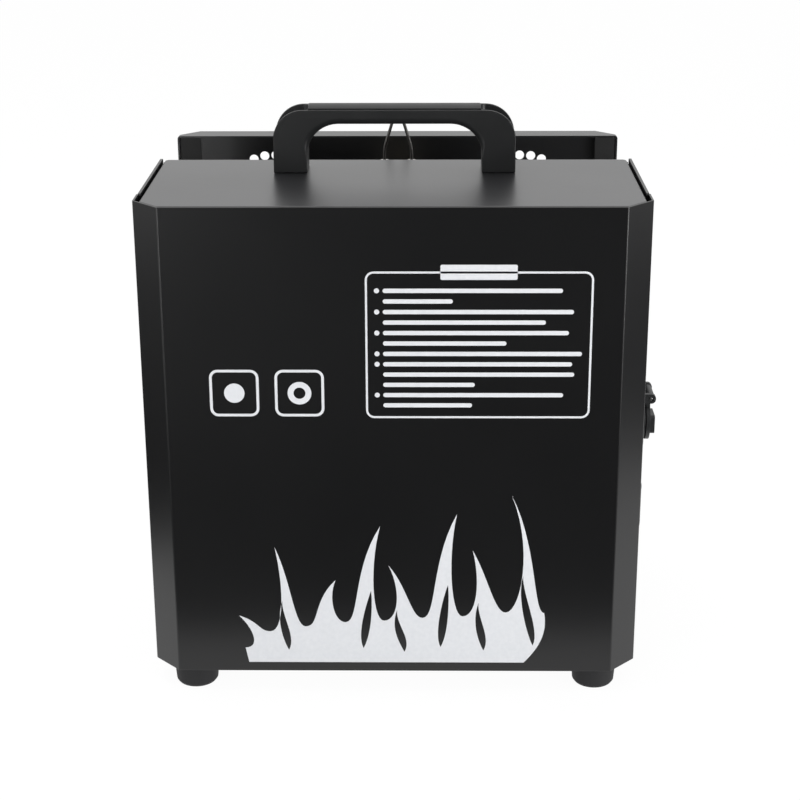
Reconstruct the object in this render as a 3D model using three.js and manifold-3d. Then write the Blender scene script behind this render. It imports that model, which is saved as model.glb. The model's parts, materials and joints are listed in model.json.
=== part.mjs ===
// Stage flame machine: a folded sheet-steel box on rubber feet. The electronics stand in the front half.
// The gas can stands in the rear half, under an open channel where the nozzle and the two electrodes are.
// Lengths are in millimetres. X runs to the right, Y to the back and Z up, with the floor at zero.

import * as THREE from 'three';
import { mergeVertices } from 'three/addons/utils/BufferGeometryUtils.js';
import Module from 'manifold-3d';

const wasm = await Module();
wasm.setup();

// Whole machine
const width = 300;
const coverHeight = 294.5;
const frontBoxDepth = 131.5;
const channelDepth = 76.3;
const rearStripDepth = 18.7;
const wellDepth = 66;
const sheet = 1.2;
const bendRadius = 2;
const seat = 0.3;
const overrun = 3;
const bendSteps = 2;

// Sheet-steel housing
const cover = { chamferX: 16.2, chamferY: 17, returnLength: 16.5, lipHalf: 100, lipDepth: 12 };
const rear = { inset: 1.4, drop: 0.5, chamfer: 13, lipHalf: 100, lipDepth: 10 };
const sidePanel = { thickness: 1.6, inset: 0.7, corner: 1.5 };
const deck = { recess: 0.6, gap: 0.6, sideGap: 1.2, skirt: 12, cornerCut: 2 };
const vent = {
  x: 85.8, belowTop: 48.8, ringStep: 8, rings: 4, pitch: 7.7, radius: 3.15, turn: 0.065, sides: 6,
};
const pan = { flange: 14, slotMargin: 4, slotWidth: 4, slotPitch: 12, slotCount: 5 };
const well = { tabHeight: 10, tabHalf: 40, endFlange: 10 };
const bulkhead = { flange: 12, wireRadius: 8, wireX: 100, wireUp: 60 };
const bay = { half: 62, flange: 12 };
const foot = {
  height: 14.5, topRadius: 14.2, bottomRadius: 13, edge: 2, inX: 25.2, inY: 17,
  boreRadius: 2.6, recessRadius: 5.5, recessDepth: 6, sides: 16, boreSides: 6, edgeShare: 0.3,
};

// Carry handle
const handle = {
  width: 148, leg: 20.4, depth: 24, height: 38.3, underside: 29.5, fromEdge: 16.8,
  outerRadius: 18, innerRadius: 19.5, lip: 2.4, web: 4.5, floor: 7, gripIn: 21.3, recess: 5, slope: 8,
  crown: 2.2, gripCorner: 4, ease: 4, easeFade: 0.45, easeSteps: 2, steps: 6, crownSteps: 5,
};
const handleScrew = { headRadius: 4.4, headHeight: 4, shankRadius: 2.5, below: 8, clearance: 0.4, sides: 12 };

// Gas can bay
const can = { radius: 33, play: 0.6 };
const cup = { wall: 2, floor: 2.5, height: 12, slack: 2, drainRadius: 5, sides: 18 };
const clip = {
  thickness: 1.2, height: 18, above: 92, halfAngle: 2, flareOut: 5, flareTurn: 0.14, padHalf: 12, steps: 14,
};

// Gas can door
const door = { half: 51, gap: 1, abovePan: 3.3, belowWell: 35, fold: 8, corner: 3 };
const doorSlot = { length: 50, width: 3, count: 4, pitch: 9, above: 14 };
const hinge = {
  radius: 2.6, pinRadius: 1.2, pinOut: 1, leaf: 14, thickness: 1, inset: 11, knuckles: 5, sides: 10,
};
const latch = {
  fromEdge: 14, headRadius: 9, headHeight: 2.3, barLength: 14, barWidth: 3, barHeight: 2.2, spindle: 4,
  stub: 2.4, behind: 1, camThickness: 2, camWidth: 10, camReach: 20, nutRadius: 4.2, nutHeight: 2,
  play: 0.4, sides: 16,
};

// Valve, fuel line and burner
const burnerX = 1.1;
const valveBracket = { drop: 34, half: 24, flange: 10, depth: 22 };
const valve = {
  half: 12, height: 17, bossRadius: 6, bossHeight: 5, tubeRadius: 5, tubeUp: 11.5, nutRadius: 8,
  nutHeight: 4, sides: 12, nutSides: 6,
};
const coil = { width: 26, length: 20, height: 22, corner: 4, terminal: 5, terminalWidth: 10 };
const adaptor = {
  neckRadius: 7, radius: 15, height: 16, boreRadius: 11, boreDepth: 10, passage: 2, chamfer: 1,
  play: 0.6, sides: 16,
};
const seal = { thickness: 3, bore: 4 };
const fuelTube = { radius: 3, bore: 2.2, into: 4, play: 0.8, sides: 12 };
const nozzle = {
  low: 9, socketDepth: 8, skirtRadius: 4.6, hexRadius: 5, hexLow: 12, stemRadius: 3.8, shoulder: 43, top: 48,
  tipRadius: 2.3, jetRadius: 0.8, jetDepth: 10, play: 0.5, sides: 10, hexSides: 6,
};
const burner = { half: 22, flange: 10, height: 24, depth: 22 };
const insulator = {
  radius: 3.4, low: 10, top: 57.4, collarRadius: 5, collarHeight: 4, chamfer: 0.8, play: 0.3, sides: 12,
};
const electrode = {
  spacing: 17.8, radius: 1, below: 2, rise: 7.7, bend: 4, tipGap: 4.2, tip: 30.2, sides: 6, steps: 8,
};
const lead = { radius: 2, bend: 6, drop: 6, sides: 6, steps: 14, ahead: 14, play: 0.7, holeSides: 10 };

// Electronics
const igniter = {
  width: 46, depth: 24, height: 34, ear: 7, earThickness: 4, bossRadius: 4, bossHeight: 5, below: 3,
};
const psu = {
  length: 100, width: 78, height: 36, fromLeft: 25, fromFront: 26, step: 16, terminals: 6, rib: 2,
  shelfShare: 0.5,
};
const tiltSwitch = { length: 22, width: 16, height: 14, canRadius: 5, base: 2, fromRight: 60, fromFront: 50 };

// Fittings on the right side panel. They line up at shares of the cover's height and the front box's depth.
const rowHeightShares = { inlet: 0.508, dmx: 0.325 };
const alongShares = { inlet: 0.3745, rocker: 0.64, fuse: 0.85, dmxIn: 0.38, dmxOut: 0.7, control: 0.6 };
const flange = { width: 26, height: 31, corner: 5, bodyRadius: 11.8, play: 0.4, sides: 20 };
const inlet = {
  thickness: 3, collarRadius: 12.5, collarHeight: 1.2, boreRadius: 10, boreDepth: 17, bodyDepth: 26,
  blades: 3, bladeWidth: 5, bladeThickness: 1.6, bladeRing: 5.6, bladeHeight: 12,
  axisUp: 16.5, axisOut: 7, earRadius: 3, earIn: 9, earOut: 12, barrelRadius: 2.6, pinRadius: 1, play: 0.4,
};
const flap = {
  radius: 13, thickness: 2.4, armHalf: 8, gripHalf: 8, gripLow: -7.7, gripHigh: 3.9, gripOut: 10.5, corner: 2,
  barrelSides: 12,
};
const dmx = {
  thickness: 3.2, cupRadius: 9.4, cupDepth: 14, bodyDepth: 24, pinRadius: 1.2, pinRing: 4.7, pinHeight: 12,
  insertRadius: 7.8, holeRadius: 1.5, holeDepth: 11, holeSides: 6, pins: 3,
};
const tab = { half: 4, low: 12.4, high: 14.2, out: 5, foot: 2.4, pocketFloor: 1.1, play: 0.3 };
const rocker = {
  bezelWidth: 15, bezelHeight: 22.6, bezelThickness: 2, bodyWidth: 12.6, bodyHeight: 20.6, bodyDepth: 16,
  recessHalf: 9.4, recessWidth: 11.2, recessDepth: 9.5, half: 8, sideLow: 2, rise: 6.5, dip: 5, belly: 3,
  bellyDepth: 2, pivotIn: 3, tilt: 0.1745, play: 0.3, corner: 1.5,
};
const fuse = {
  flangeRadius: 8.5, flangeHeight: 2, barrelRadius: 6, barrelDepth: 30, boreRadius: 3.6, boreDepth: 24,
  capRadius: 6.5, capHeight: 6, stemRadius: 3.2, stemDepth: 22, slotWidth: 1.4, slotDepth: 1.5, ribs: 12,
  groove: 0.5, sides: 16,
};
const control = {
  width: 80, height: 52, thickness: 2, corner: 4, belowDeck: 48, openingWidth: 72, openingHeight: 44,
  windowWidth: 44, windowHeight: 18, windowUp: 9, lens: 1.6, play: 0.3,
  buttonDown: 13, buttonPitch: 16, buttonCount: 4, buttonRadius: 3.9, buttonOut: 3.8, collarRadius: 5.2,
  collarHeight: 1.2, stemRadius: 1.6, stem: 3.5, postRadius: 2.5, postInset: 3.5, boardDepth: 8,
  boardThickness: 1.6, boardLap: 2, keyHalf: 3, keyHeight: 1.7, moduleHeight: 6.5, dome: 0.6,
  sides: 14, postSides: 8,
};

// Places that follow from the sizes
const quarterTurn = Math.PI / 2;
const fullTurn = Math.PI * 2;
const depth = frontBoxDepth + channelDepth + rearStripDepth;
const frontY = -depth / 2;
const rearY = depth / 2;
const sideX = width / 2 - sidePanel.inset;
const innerX = sideX - sidePanel.thickness;
const rearSideX = width / 2 - rear.inset;
const rearInnerX = rearSideX - sheet;
const bottomZ = foot.height;
const topZ = bottomZ + coverHeight;
const deckZ = topZ - deck.recess;
const channelFrontY = frontY + frontBoxDepth;
const channelRearY = rearY - rearStripDepth;
const channelY = (channelFrontY + channelRearY) / 2;
const wellZ = deckZ - wellDepth;
const wellUnderZ = wellZ - sheet;
const panZ = bottomZ + sheet + seat;
const panTopZ = panZ + sheet;
const wallY = channelFrontY - sheet - seat;
const rearInnerY = rearY - sheet;
const doorLowZ = panTopZ + pan.flange + door.abovePan;
const doorHighZ = wellZ - door.belowWell;
const hingeLength = doorHighZ - doorLowZ - 2 * hinge.inset;
const latchX = 2 * door.half + door.gap / 2 - latch.fromEdge;
const latchZ = (doorLowZ + doorHighZ) / 2;
const cupRadius = can.radius + cup.slack + cup.wall;
const handleY = channelFrontY - handle.fromEdge - handle.depth / 2;
const handleScrewX = handle.width / 2 - (handle.leg - handle.web) / 2;
const gripHalf = handle.width / 2 - handle.gripIn;
const leadZ = wellUnderZ - lead.drop;
const igniterTopZ = leadZ - lead.bend - igniter.below - seat;

// Finishes
function finish(color, roughness, metalness) {
  return new THREE.MeshStandardMaterial({ color, roughness, metalness });
}

const blackCoat = finish(0x1b1c1e, 0.55, 0.2);
const bareSteel = finish(0x9a9c9e, 0.35, 0.9);
const zincSteel = finish(0xb4b6b4, 0.4, 0.9);
const blackPlastic = finish(0x141516, 0.4, 0);
const greyPlastic = finish(0x3a3c40, 0.5, 0);
const rubber = finish(0x101112, 0.85, 0);
const brass = finish(0xb8964a, 0.35, 0.9);
const copper = finish(0xb06a45, 0.35, 0.9);
const ceramic = finish(0xeceae2, 0.45, 0);
const boardGreen = finish(0x1f5a3a, 0.5, 0.1);
const smokedGlass = finish(0x2a0d0d, 0.1, 0);
const redSilicone = finish(0x8c1a1a, 0.6, 0);

// Solids: manifold-3d joins and cuts what the three.js geometry classes make
function toSolid(geometry) {
  const bare = geometry.clone();
  bare.deleteAttribute('normal');
  bare.deleteAttribute('uv');
  const merged = mergeVertices(bare);
  const index = merged.index.array;
  const kept = [];
  for (let i = 0; i < index.length; i += 3) {
    const [a, b, c] = [index[i], index[i + 1], index[i + 2]];
    if (a !== b && b !== c && c !== a) kept.push(a, b, c);
  }
  return new wasm.Manifold(new wasm.Mesh({
    numProp: 3,
    vertProperties: new Float32Array(merged.attributes.position.array),
    triVerts: new Uint32Array(kept),
  }));
}

function toGeometry(solid) {
  const mesh = solid.getMesh();
  const geometry = new THREE.BufferGeometry();
  geometry.setAttribute('position', new THREE.BufferAttribute(mesh.vertProperties.slice(), mesh.numProp));
  geometry.setIndex(new THREE.BufferAttribute(mesh.triVerts.slice(), 1));
  geometry.computeVertexNormals();
  return geometry;
}

function join(first, ...others) {
  return toGeometry(others.reduce((sum, other) => sum.add(toSolid(other)), toSolid(first)));
}

function cut(first, ...tools) {
  return toGeometry(tools.reduce((rest, tool) => rest.subtract(toSolid(tool)), toSolid(first)));
}

function common(first, second) {
  return toGeometry(toSolid(first).intersect(toSolid(second)));
}

// Outlines are lists of [x, y]. A corner with a third number is rounded to that radius.
function outline(corners, steps = bendSteps) {
  const points = [];
  corners.forEach(([x, y, radius = 0], i) => {
    const here = new THREE.Vector2(x, y);
    if (radius === 0) {
      points.push(here);
      return;
    }
    const [beforeX, beforeY] = corners.at(i - 1);
    const [afterX, afterY] = corners[(i + 1) % corners.length];
    const toBefore = new THREE.Vector2(beforeX, beforeY).sub(here).normalize();
    const toAfter = new THREE.Vector2(afterX, afterY).sub(here).normalize();
    const half = Math.acos(toBefore.dot(toAfter)) / 2;
    const middle = toBefore.clone().add(toAfter).normalize();
    const centre = here.clone().addScaledVector(middle, radius / Math.sin(half));
    const start = here.clone().addScaledVector(toBefore, radius / Math.tan(half)).sub(centre);
    const end = here.clone().addScaledVector(toAfter, radius / Math.tan(half)).sub(centre);
    const turn = Math.atan2(start.cross(end), start.dot(end));
    for (let k = 0; k <= steps; k += 1) {
      points.push(start.clone().rotateAround(new THREE.Vector2(), (turn * k) / steps).add(centre));
    }
  });
  return points;
}

// Moves each edge of an anticlockwise outline inwards by its own distance
function inset(corners, distances) {
  const edges = corners.map(([x, y], i) => {
    const [nextX, nextY] = corners[(i + 1) % corners.length];
    const length = Math.hypot(nextX - x, nextY - y);
    const normalX = (y - nextY) / length;
    const normalY = (nextX - x) / length;
    return { normalX, normalY, offset: normalX * x + normalY * y + distances[i] };
  });
  return edges.map((edge, i) => {
    const last = edges.at(i - 1);
    const determinant = last.normalX * edge.normalY - last.normalY * edge.normalX;
    return [
      (last.offset * edge.normalY - edge.offset * last.normalY) / determinant,
      (last.normalX * edge.offset - edge.normalX * last.offset) / determinant,
    ];
  });
}

// The unit vector to the left of stretch i of a line
function leftOf(line, i) {
  return new THREE.Vector2(line[i][1] - line[i + 1][1], line[i + 1][0] - line[i][0]).normalize();
}

// A line moved to its left by a distance, with mitred corners
function beside(line, distance) {
  return line.map(([x, y], i) => {
    const before = leftOf(line, Math.max(i - 1, 0));
    const after = leftOf(line, Math.min(i, line.length - 2));
    const mitre = before.clone().add(after).normalize();
    const reach = distance / mitre.dot(before);
    return [x + mitre.x * reach, y + mitre.y * reach];
  });
}

// A folded sheet seen end on: its face line, with the sheet's thickness to the left of it
function folded(line, thickness = sheet, radius = bendRadius) {
  const other = beside(line, thickness);
  const turns = line.map((point, i) => {
    if (i === 0 || i === line.length - 1) return 0;
    return leftOf(line, i - 1).cross(leftOf(line, i));
  });
  const face = line.map(([x, y], i) => {
    const bend = turns[i] > 0 ? radius : radius - thickness;
    return [x, y, turns[i] === 0 ? 0 : bend];
  });
  const back = other.map(([x, y], i) => {
    const bend = turns[i] > 0 ? radius - thickness : radius;
    return [x, y, turns[i] === 0 ? 0 : bend];
  });
  return outline([...face, ...back.reverse()]);
}

function mirrored(line) {
  return line.map(([x, y]) => [-x, y]).reverse();
}

function circle(x, y, radius, sides) {
  const points = [];
  for (let i = 0; i < sides; i += 1) {
    const angle = (fullTurn * (i + 0.5)) / sides;
    points.push(new THREE.Vector2(x + radius * Math.cos(angle), y + radius * Math.sin(angle)));
  }
  return points;
}

function rectangle(x, y, wide, high, radius = 0) {
  const [left, right, low, high2] = [x - wide / 2, x + wide / 2, y - high / 2, y + high / 2];
  return outline([[left, low, radius], [right, low, radius], [right, high2, radius], [left, high2, radius]]);
}

// Raises outlines drawn in the XY plane between two heights
function raised(points, low, high) {
  const shapes = (Array.isArray(points[0]) ? points : [points]).map((list) => new THREE.Shape(list));
  return new THREE.ExtrudeGeometry(shapes, { depth: high - low, bevelEnabled: false }).translate(0, 0, low);
}

// Outlines drawn as (x, z), run from front to back
function standing(points, front, back) {
  return raised(points, -back, -front).rotateX(quarterTurn);
}

// Outlines drawn as (y, z), run from left to right
function sideways(points, left, right) {
  return raised(points, left, right).rotateX(quarterTurn).rotateZ(quarterTurn);
}

// Joins outlines with as many points each, drawn as (x, z), each at its own depth from front to back
function lofted(outlines, depths) {
  const count = outlines[0].length;
  const last = (outlines.length - 1) * count;
  const places = outlines.flatMap((points, k) => points.flatMap((point) => [point.x, depths[k], point.y]));
  const faces = [];
  for (let start = 0; start < last; start += count) {
    for (let i = 0; i < count; i += 1) {
      const [here, next] = [start + i, start + ((i + 1) % count)];
      faces.push(here, here + count, next + count, here, next + count, next);
    }
  }
  for (const [a, b, c] of THREE.ShapeUtils.triangulateShape(outlines[0], [])) faces.push(a, b, c);
  for (const [a, b, c] of THREE.ShapeUtils.triangulateShape(outlines.at(-1), [])) {
    faces.push(last + c, last + b, last + a);
  }
  const geometry = new THREE.BufferGeometry();
  geometry.setAttribute('position', new THREE.Float32BufferAttribute(places, 3));
  geometry.setIndex(faces);
  return geometry;
}

function block(left, right, front, back, low, high) {
  return new THREE.BoxGeometry(right - left, back - front, high - low)
    .translate((left + right) / 2, (front + back) / 2, (low + high) / 2);
}

// Turns a profile of [radius, height] about Z. A profile with a bore ends where it starts.
function turned(profile, sides) {
  const points = profile.map(([radius, height]) => new THREE.Vector2(radius, height));
  return new THREE.LatheGeometry(points, sides).rotateX(quarterTurn);
}

function swept(path, radius, sides, steps) {
  const section = new THREE.Shape(circle(0, 0, radius, sides));
  return new THREE.ExtrudeGeometry(section, { extrudePath: path, steps, bevelEnabled: false });
}

// A path of straight runs with a rounded corner of the given reach at each inner point
function route(points, reach) {
  const path = new THREE.CurvePath();
  let from = points[0];
  for (let i = 1; i < points.length - 1; i += 1) {
    const into = points[i].clone().addScaledVector(points[i - 1].clone().sub(points[i]).normalize(), reach);
    const out = points[i].clone().addScaledVector(points[i + 1].clone().sub(points[i]).normalize(), reach);
    path.add(new THREE.LineCurve3(from, into));
    path.add(new THREE.QuadraticBezierCurve3(into, points[i], out));
    from = out;
  }
  path.add(new THREE.LineCurve3(from, points.at(-1)));
  return path;
}

// Scene graph
const machine = new THREE.Group();

function group(parent, x, y, z) {
  const made = new THREE.Group();
  made.position.set(x, y, z);
  parent.add(made);
  return made;
}

function piece(name, geometry, material, parent = machine, x = 0, y = 0, z = 0) {
  const mesh = new THREE.Mesh(toGeometry(toSolid(geometry)), material);
  mesh.name = name;
  mesh.position.set(x, y, z);
  parent.add(mesh);
  return mesh;
}

// The body seen from above, each face moved inwards by its own distance
function bodyOutline(front, side, back) {
  const chamferFrontY = frontY + cover.chamferY;
  const faceX = width / 2 - cover.chamferX;
  const chamferRearY = rearY - rear.chamfer - rear.inset;
  const rearX = rearSideX - rear.chamfer;
  const corners = [
    [-faceX, frontY], [faceX, frontY], [width / 2, chamferFrontY], [width / 2, chamferRearY],
    [rearX, rearY], [-rearX, rearY], [-width / 2, chamferRearY], [-width / 2, chamferFrontY],
  ];
  return inset(corners, [front, front, side, back, back, back, side, front]);
}

// Front cover: front face, two chamfers, two short returns and a bottom lip that takes screws from below
function frontCover() {
  const faceX = width / 2 - cover.chamferX;
  const chamferY = frontY + cover.chamferY;
  const right = [[faceX, frontY], [width / 2, chamferY], [width / 2, chamferY + cover.returnLength]];
  const shell = raised(folded([...mirrored(right), ...right]), 0, coverHeight);
  const lipBack = frontY + sheet + cover.lipDepth;
  const lip = block(-cover.lipHalf, cover.lipHalf, frontY + sheet / 2, lipBack, 0, sheet);
  return join(shell, lip);
}

// One field of vents: rings of round holes about a middle hole
function ventHoles(x, z) {
  const holes = [circle(x, z, vent.radius, vent.sides)];
  for (let ring = 1; ring <= vent.rings; ring += 1) {
    const radius = ring * vent.ringStep;
    const count = Math.floor((fullTurn * radius) / vent.pitch);
    for (let i = 0; i < count; i += 1) {
      const angle = vent.turn - (fullTurn * i) / count;
      const holeX = x - Math.sign(x) * radius * Math.sin(angle);
      holes.push(circle(holeX, z + radius * Math.cos(angle), vent.radius, vent.sides));
    }
  }
  return holes;
}

// Rear cover: rear face, chamfers, returns, a top flange over the strip, vents and the can door's opening
function rearCover() {
  const high = deckZ - bottomZ - rear.drop;
  const rearX = rearSideX - rear.chamfer;
  const right = [[rearSideX, channelRearY], [rearSideX, rearY - rear.chamfer], [rearX, rearY]];
  const line = [...right, ...mirrored(right)];
  const shell = raised(folded(line), 0, high);
  const top = raised(outline(line), high - sheet, high);
  const lip = block(-rear.lipHalf, rear.lipHalf, rearInnerY - rear.lipDepth, rearY - sheet / 2, 0, sheet);
  const ventZ = high - vent.belowTop;
  const vents = [...ventHoles(-vent.x, ventZ), ...ventHoles(vent.x, ventZ)];
  const doorZ = (doorLowZ + doorHighZ) / 2 - bottomZ;
  const doorHeight = doorHighZ - doorLowZ + 2 * door.gap;
  const opening = rectangle(0, doorZ, 2 * (door.half + door.gap), doorHeight, door.corner);
  return cut(join(shell, top, lip), standing([...vents, opening], rearInnerY - overrun, rearY + overrun));
}

// Side panels run on from the front cover's returns and step down to the channel's floor behind the front box
function sidePanelSheet(side, openings = []) {
  const front = frontY + cover.chamferY + cover.returnLength + seat;
  const back = channelRearY - seat;
  const corners = [
    [front, 0], [back, 0], [back, wellZ - bottomZ], [channelFrontY, wellZ - bottomZ, sidePanel.corner],
    [channelFrontY, coverHeight, sidePanel.corner], [front, coverHeight],
  ];
  const left = side > 0 ? innerX : -sideX;
  const right = left + sidePanel.thickness;
  const panel = sideways(outline(corners), left, right);
  return openings.length ? cut(panel, sideways(openings, left - overrun, right + overrun)) : panel;
}

// Base pan: a tray with upright edges, foot screw holes, and slots that let heavy gas out of the can bay
function basePan() {
  const clear = width / 2 - rearInnerX + seat;
  const outer = outline(bodyOutline(sheet + seat, clear, sheet + seat));
  const inner = outline(bodyOutline(2 * sheet + seat, clear + sheet, 2 * sheet + seat));
  const slotLength = bay.half - cupRadius - 2 * pan.slotMargin;
  const holes = [];
  for (const side of [-1, 1]) {
    for (let i = 0; i < pan.slotCount; i += 1) {
      const y = channelY + (i - (pan.slotCount - 1) / 2) * pan.slotPitch;
      holes.push(rectangle((side * (bay.half + cupRadius)) / 2, y, slotLength, pan.slotWidth));
    }
    for (const end of [-1, 1]) {
      const y = end * (depth / 2 - foot.inY);
      holes.push(circle(side * (width / 2 - foot.inX), y, foot.boreRadius, foot.boreSides));
    }
  }
  const tray = cut(raised(outer, 0, sheet + pan.flange), raised(inner, sheet, sheet + pan.flange + overrun));
  return cut(tray, raised(holes, -overrun, sheet + overrun));
}

// Top plate: sits inside the front cover, with folded edges and a skirt down to the channel
function topPlate() {
  const gapped = sheet + deck.gap;
  const half = innerX - deck.sideGap;
  const body = bodyOutline(gapped, width / 2 - half, 0);
  const back = channelFrontY;
  const corners = [
    body[0], body[1], body[2], [half, back - deck.cornerCut], [half - deck.cornerCut, back],
    [deck.cornerCut - half, back], [-half, back - deck.cornerCut], body[7],
  ];
  const foldEnd = 2 * deck.cornerCut;
  const [frontHalf, foldFront, sideFront] = [body[1][0] - foldEnd, body[1][1], body[2][1] + foldEnd];
  const plate = join(
    raised(outline(corners), -sheet, 0),
    block(foldEnd - half, half - foldEnd, back - sheet, back, -deck.skirt, -sheet / 2),
    block(-frontHalf, frontHalf, foldFront, foldFront + sheet, -deck.skirt, -sheet / 2),
    block(half - sheet, half, sideFront, back - foldEnd, -deck.skirt, -sheet / 2),
    block(-half, sheet - half, sideFront, back - foldEnd, -deck.skirt, -sheet / 2),
  );
  const radius = handleScrew.shankRadius + handleScrew.clearance;
  const holes = [-1, 1].map((side) => circle(side * handleScrewX, handleY, radius, handleScrew.sides));
  return cut(plate, raised(holes, -sheet - overrun, overrun));
}

// Well tray: the channel's floor and front wall in one folded sheet
function wellTray() {
  const half = rearInnerX - seat;
  const body = bodyOutline(0, width / 2 - half, sheet + seat);
  const front = wallY - sheet;
  const floor = [[-half, front], [half, front], body[3], body[4], body[5], body[6]];
  const back = rearInnerY - seat;
  const tray = join(
    raised(outline(floor), 0, sheet),
    block(-half, half, front, wallY, 0, deckZ - sheet - seat - wellUnderZ),
    block(-well.tabHalf, well.tabHalf, back - sheet, back, 0, sheet + well.tabHeight),
    block(half - sheet, half, wallY + sheet, body[3][1], -well.endFlange, sheet),
    block(-half, sheet - half, wallY + sheet, body[3][1], -well.endFlange, sheet),
  );
  const holes = [circle(burnerX, channelY, fuelTube.radius + fuelTube.play, fuelTube.sides)];
  for (const side of [-1, 1]) {
    const x = burnerX + (side * electrode.spacing) / 2;
    holes.push(circle(x, channelY, lead.radius + lead.play, lead.holeSides));
  }
  return cut(tray, raised(holes, -overrun, sheet + overrun));
}

// Bulkhead between the electronics and the can bay, with holes for the ignition leads and the wiring
function bulkheadSheet() {
  const half = rearInnerX - 2 * seat - sheet;
  const low = panTopZ + seat;
  const line = [[wallY - bulkhead.flange, 0], [wallY, 0], [wallY, wellUnderZ - seat - low]];
  const holes = [circle(-bulkhead.wireX, bulkhead.wireUp, bulkhead.wireRadius, vent.sides)];
  for (const side of [-1, 1]) {
    const x = burnerX + (side * electrode.spacing) / 2;
    holes.push(circle(x, leadZ - low, lead.radius + lead.play, lead.holeSides));
  }
  return cut(sideways(folded(line), -half, half), standing(holes, wallY - sheet - overrun, wallY + overrun));
}

function bayWall(side) {
  const front = wallY + seat;
  const back = rearInnerY - 2 * seat - sheet;
  const right = [[bay.half, back], [bay.half, front], [bay.half + bay.flange, front]];
  return raised(folded(side > 0 ? right : mirrored(right)), 0, wellUnderZ - panTopZ - 2 * seat);
}

// Rubber foot with a recess for its screw
function rubberFoot() {
  const top = panZ - seat;
  const edge = foot.bottomRadius - foot.edge * foot.edgeShare;
  return turned([
    [foot.recessRadius, 0], [foot.bottomRadius - foot.edge, 0], [edge, foot.edge * foot.edgeShare],
    [foot.bottomRadius, foot.edge], [foot.topRadius, top], [foot.boreRadius, top],
    [foot.boreRadius, foot.recessDepth], [foot.recessRadius, foot.recessDepth], [foot.recessRadius, 0],
  ], foot.sides);
}

// The handle's bridge at one depth: the ease draws back the arch and the underside, but not the legs
function bridgeOutline(ease) {
  const half = handle.width / 2;
  const inner = half - handle.leg;
  const centreX = inner - handle.innerRadius;
  const centreZ = handle.underside - handle.innerRadius;
  const arch = [];
  for (let i = handle.steps; i >= 0; i -= 1) {
    const angle = (quarterTurn * i) / handle.steps;
    const radius = handle.innerRadius + ease * Math.min(1, angle / handle.easeFade);
    arch.push([centreX + radius * Math.cos(angle), centreZ + radius * Math.sin(angle)]);
  }
  return outline([
    [-half, 0], [-inner, 0], ...mirrored(arch), ...arch, [inner, 0], [half, 0],
    [half, handle.height, handle.outerRadius], [-half, handle.height, handle.outerRadius],
  ], handle.steps);
}

// The bridge is rounded over along its arch at both faces
function bridgeSolid() {
  const outlines = [];
  const depths = [];
  for (let i = 0; i <= handle.easeSteps; i += 1) {
    const angle = (quarterTurn * i) / handle.easeSteps;
    outlines.push(bridgeOutline(handle.ease * (1 - Math.sin(angle))));
    depths.push(handle.ease * (1 - Math.cos(angle)) - handle.depth / 2);
  }
  const back = depths.map((y) => -y).reverse();
  return lofted([...outlines, ...[...outlines].reverse()], [...depths, ...back]);
}

// Carry handle: a moulded bridge with a crowned grip. Its legs are open on their outer side for the screws.
function carryHandle() {
  const half = handle.width / 2;
  const inner = half - handle.leg;
  const recessZ = handle.height - handle.recess;
  const high = handle.height + overrun;
  const pocket = [
    [inner + handle.web, handle.floor], [half + overrun, handle.floor], [half + overrun, high],
    [gripHalf, high], [gripHalf, recessZ], [inner + handle.web, recessZ - handle.slope],
  ];
  const crownHalf = handle.depth / 2 - handle.lip;
  const crown = [new THREE.Vector2(crownHalf, recessZ), new THREE.Vector2(-crownHalf, recessZ)];
  for (let i = 0; i <= handle.crownSteps; i += 1) {
    const share = (2 * i) / handle.crownSteps - 1;
    crown.push(new THREE.Vector2(crownHalf * share, handle.height + handle.crown * (1 - share * share)));
  }
  const solid = join(bridgeSolid(), sideways(crown.reverse(), -gripHalf, gripHalf));
  const plan = outline([
    [half + overrun, crownHalf], [gripHalf, crownHalf, handle.gripCorner],
    [gripHalf, -crownHalf, handle.gripCorner], [half + overrun, -crownHalf],
  ]);
  const rightPocket = common(standing(outline(pocket), -crownHalf, crownHalf), raised(plan, 0, high));
  const leftPocket = rightPocket.clone().rotateZ(fullTurn / 2);
  const radius = handleScrew.shankRadius + handleScrew.clearance;
  const holes = [-1, 1].map((side) => circle(side * handleScrewX, 0, radius, handleScrew.sides));
  return cut(solid, rightPocket, leftPocket, raised(holes, -overrun, handle.floor + overrun));
}

function handleScrewSolid() {
  const { headRadius, headHeight, shankRadius, below, sides } = handleScrew;
  const shoulder = handle.floor + seat;
  return turned([
    [0, -below], [shankRadius, -below], [shankRadius, shoulder], [headRadius, shoulder],
    [headRadius, shoulder + headHeight], [0, shoulder + headHeight],
  ], sides);
}

// Cup that the gas can stands in
function canCup() {
  const inner = cupRadius - cup.wall;
  return turned([
    [cup.drainRadius, 0], [cupRadius, 0], [cupRadius, cup.height], [inner, cup.height],
    [inner, cup.floor], [cup.drainRadius, cup.floor], [cup.drainRadius, 0],
  ], cup.sides);
}

// Spring clip: most of a ring, open to the door, with flared ends and a pad on the bulkhead
function canClip() {
  const inner = can.radius + can.play;
  const outer = inner + clip.thickness;
  const at = (radius, angle) => [radius * Math.cos(angle), radius * Math.sin(angle)];
  const first = -quarterTurn - clip.halfAngle;
  const line = [at(outer + clip.flareOut, first - clip.flareTurn)];
  for (let i = 0; i <= clip.steps; i += 1) {
    line.push(at(outer, first + (2 * clip.halfAngle * i) / clip.steps));
  }
  line.push(at(outer + clip.flareOut, first + 2 * clip.halfAngle + clip.flareTurn));
  const ring = outline([...line, ...beside(line, clip.thickness).reverse()]);
  const padFront = wallY + seat - channelY;
  return join(
    raised(ring, 0, clip.height),
    block(-clip.padHalf, clip.padHalf, padFront, -inner - clip.thickness / 2, 0, clip.height),
  );
}

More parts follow.
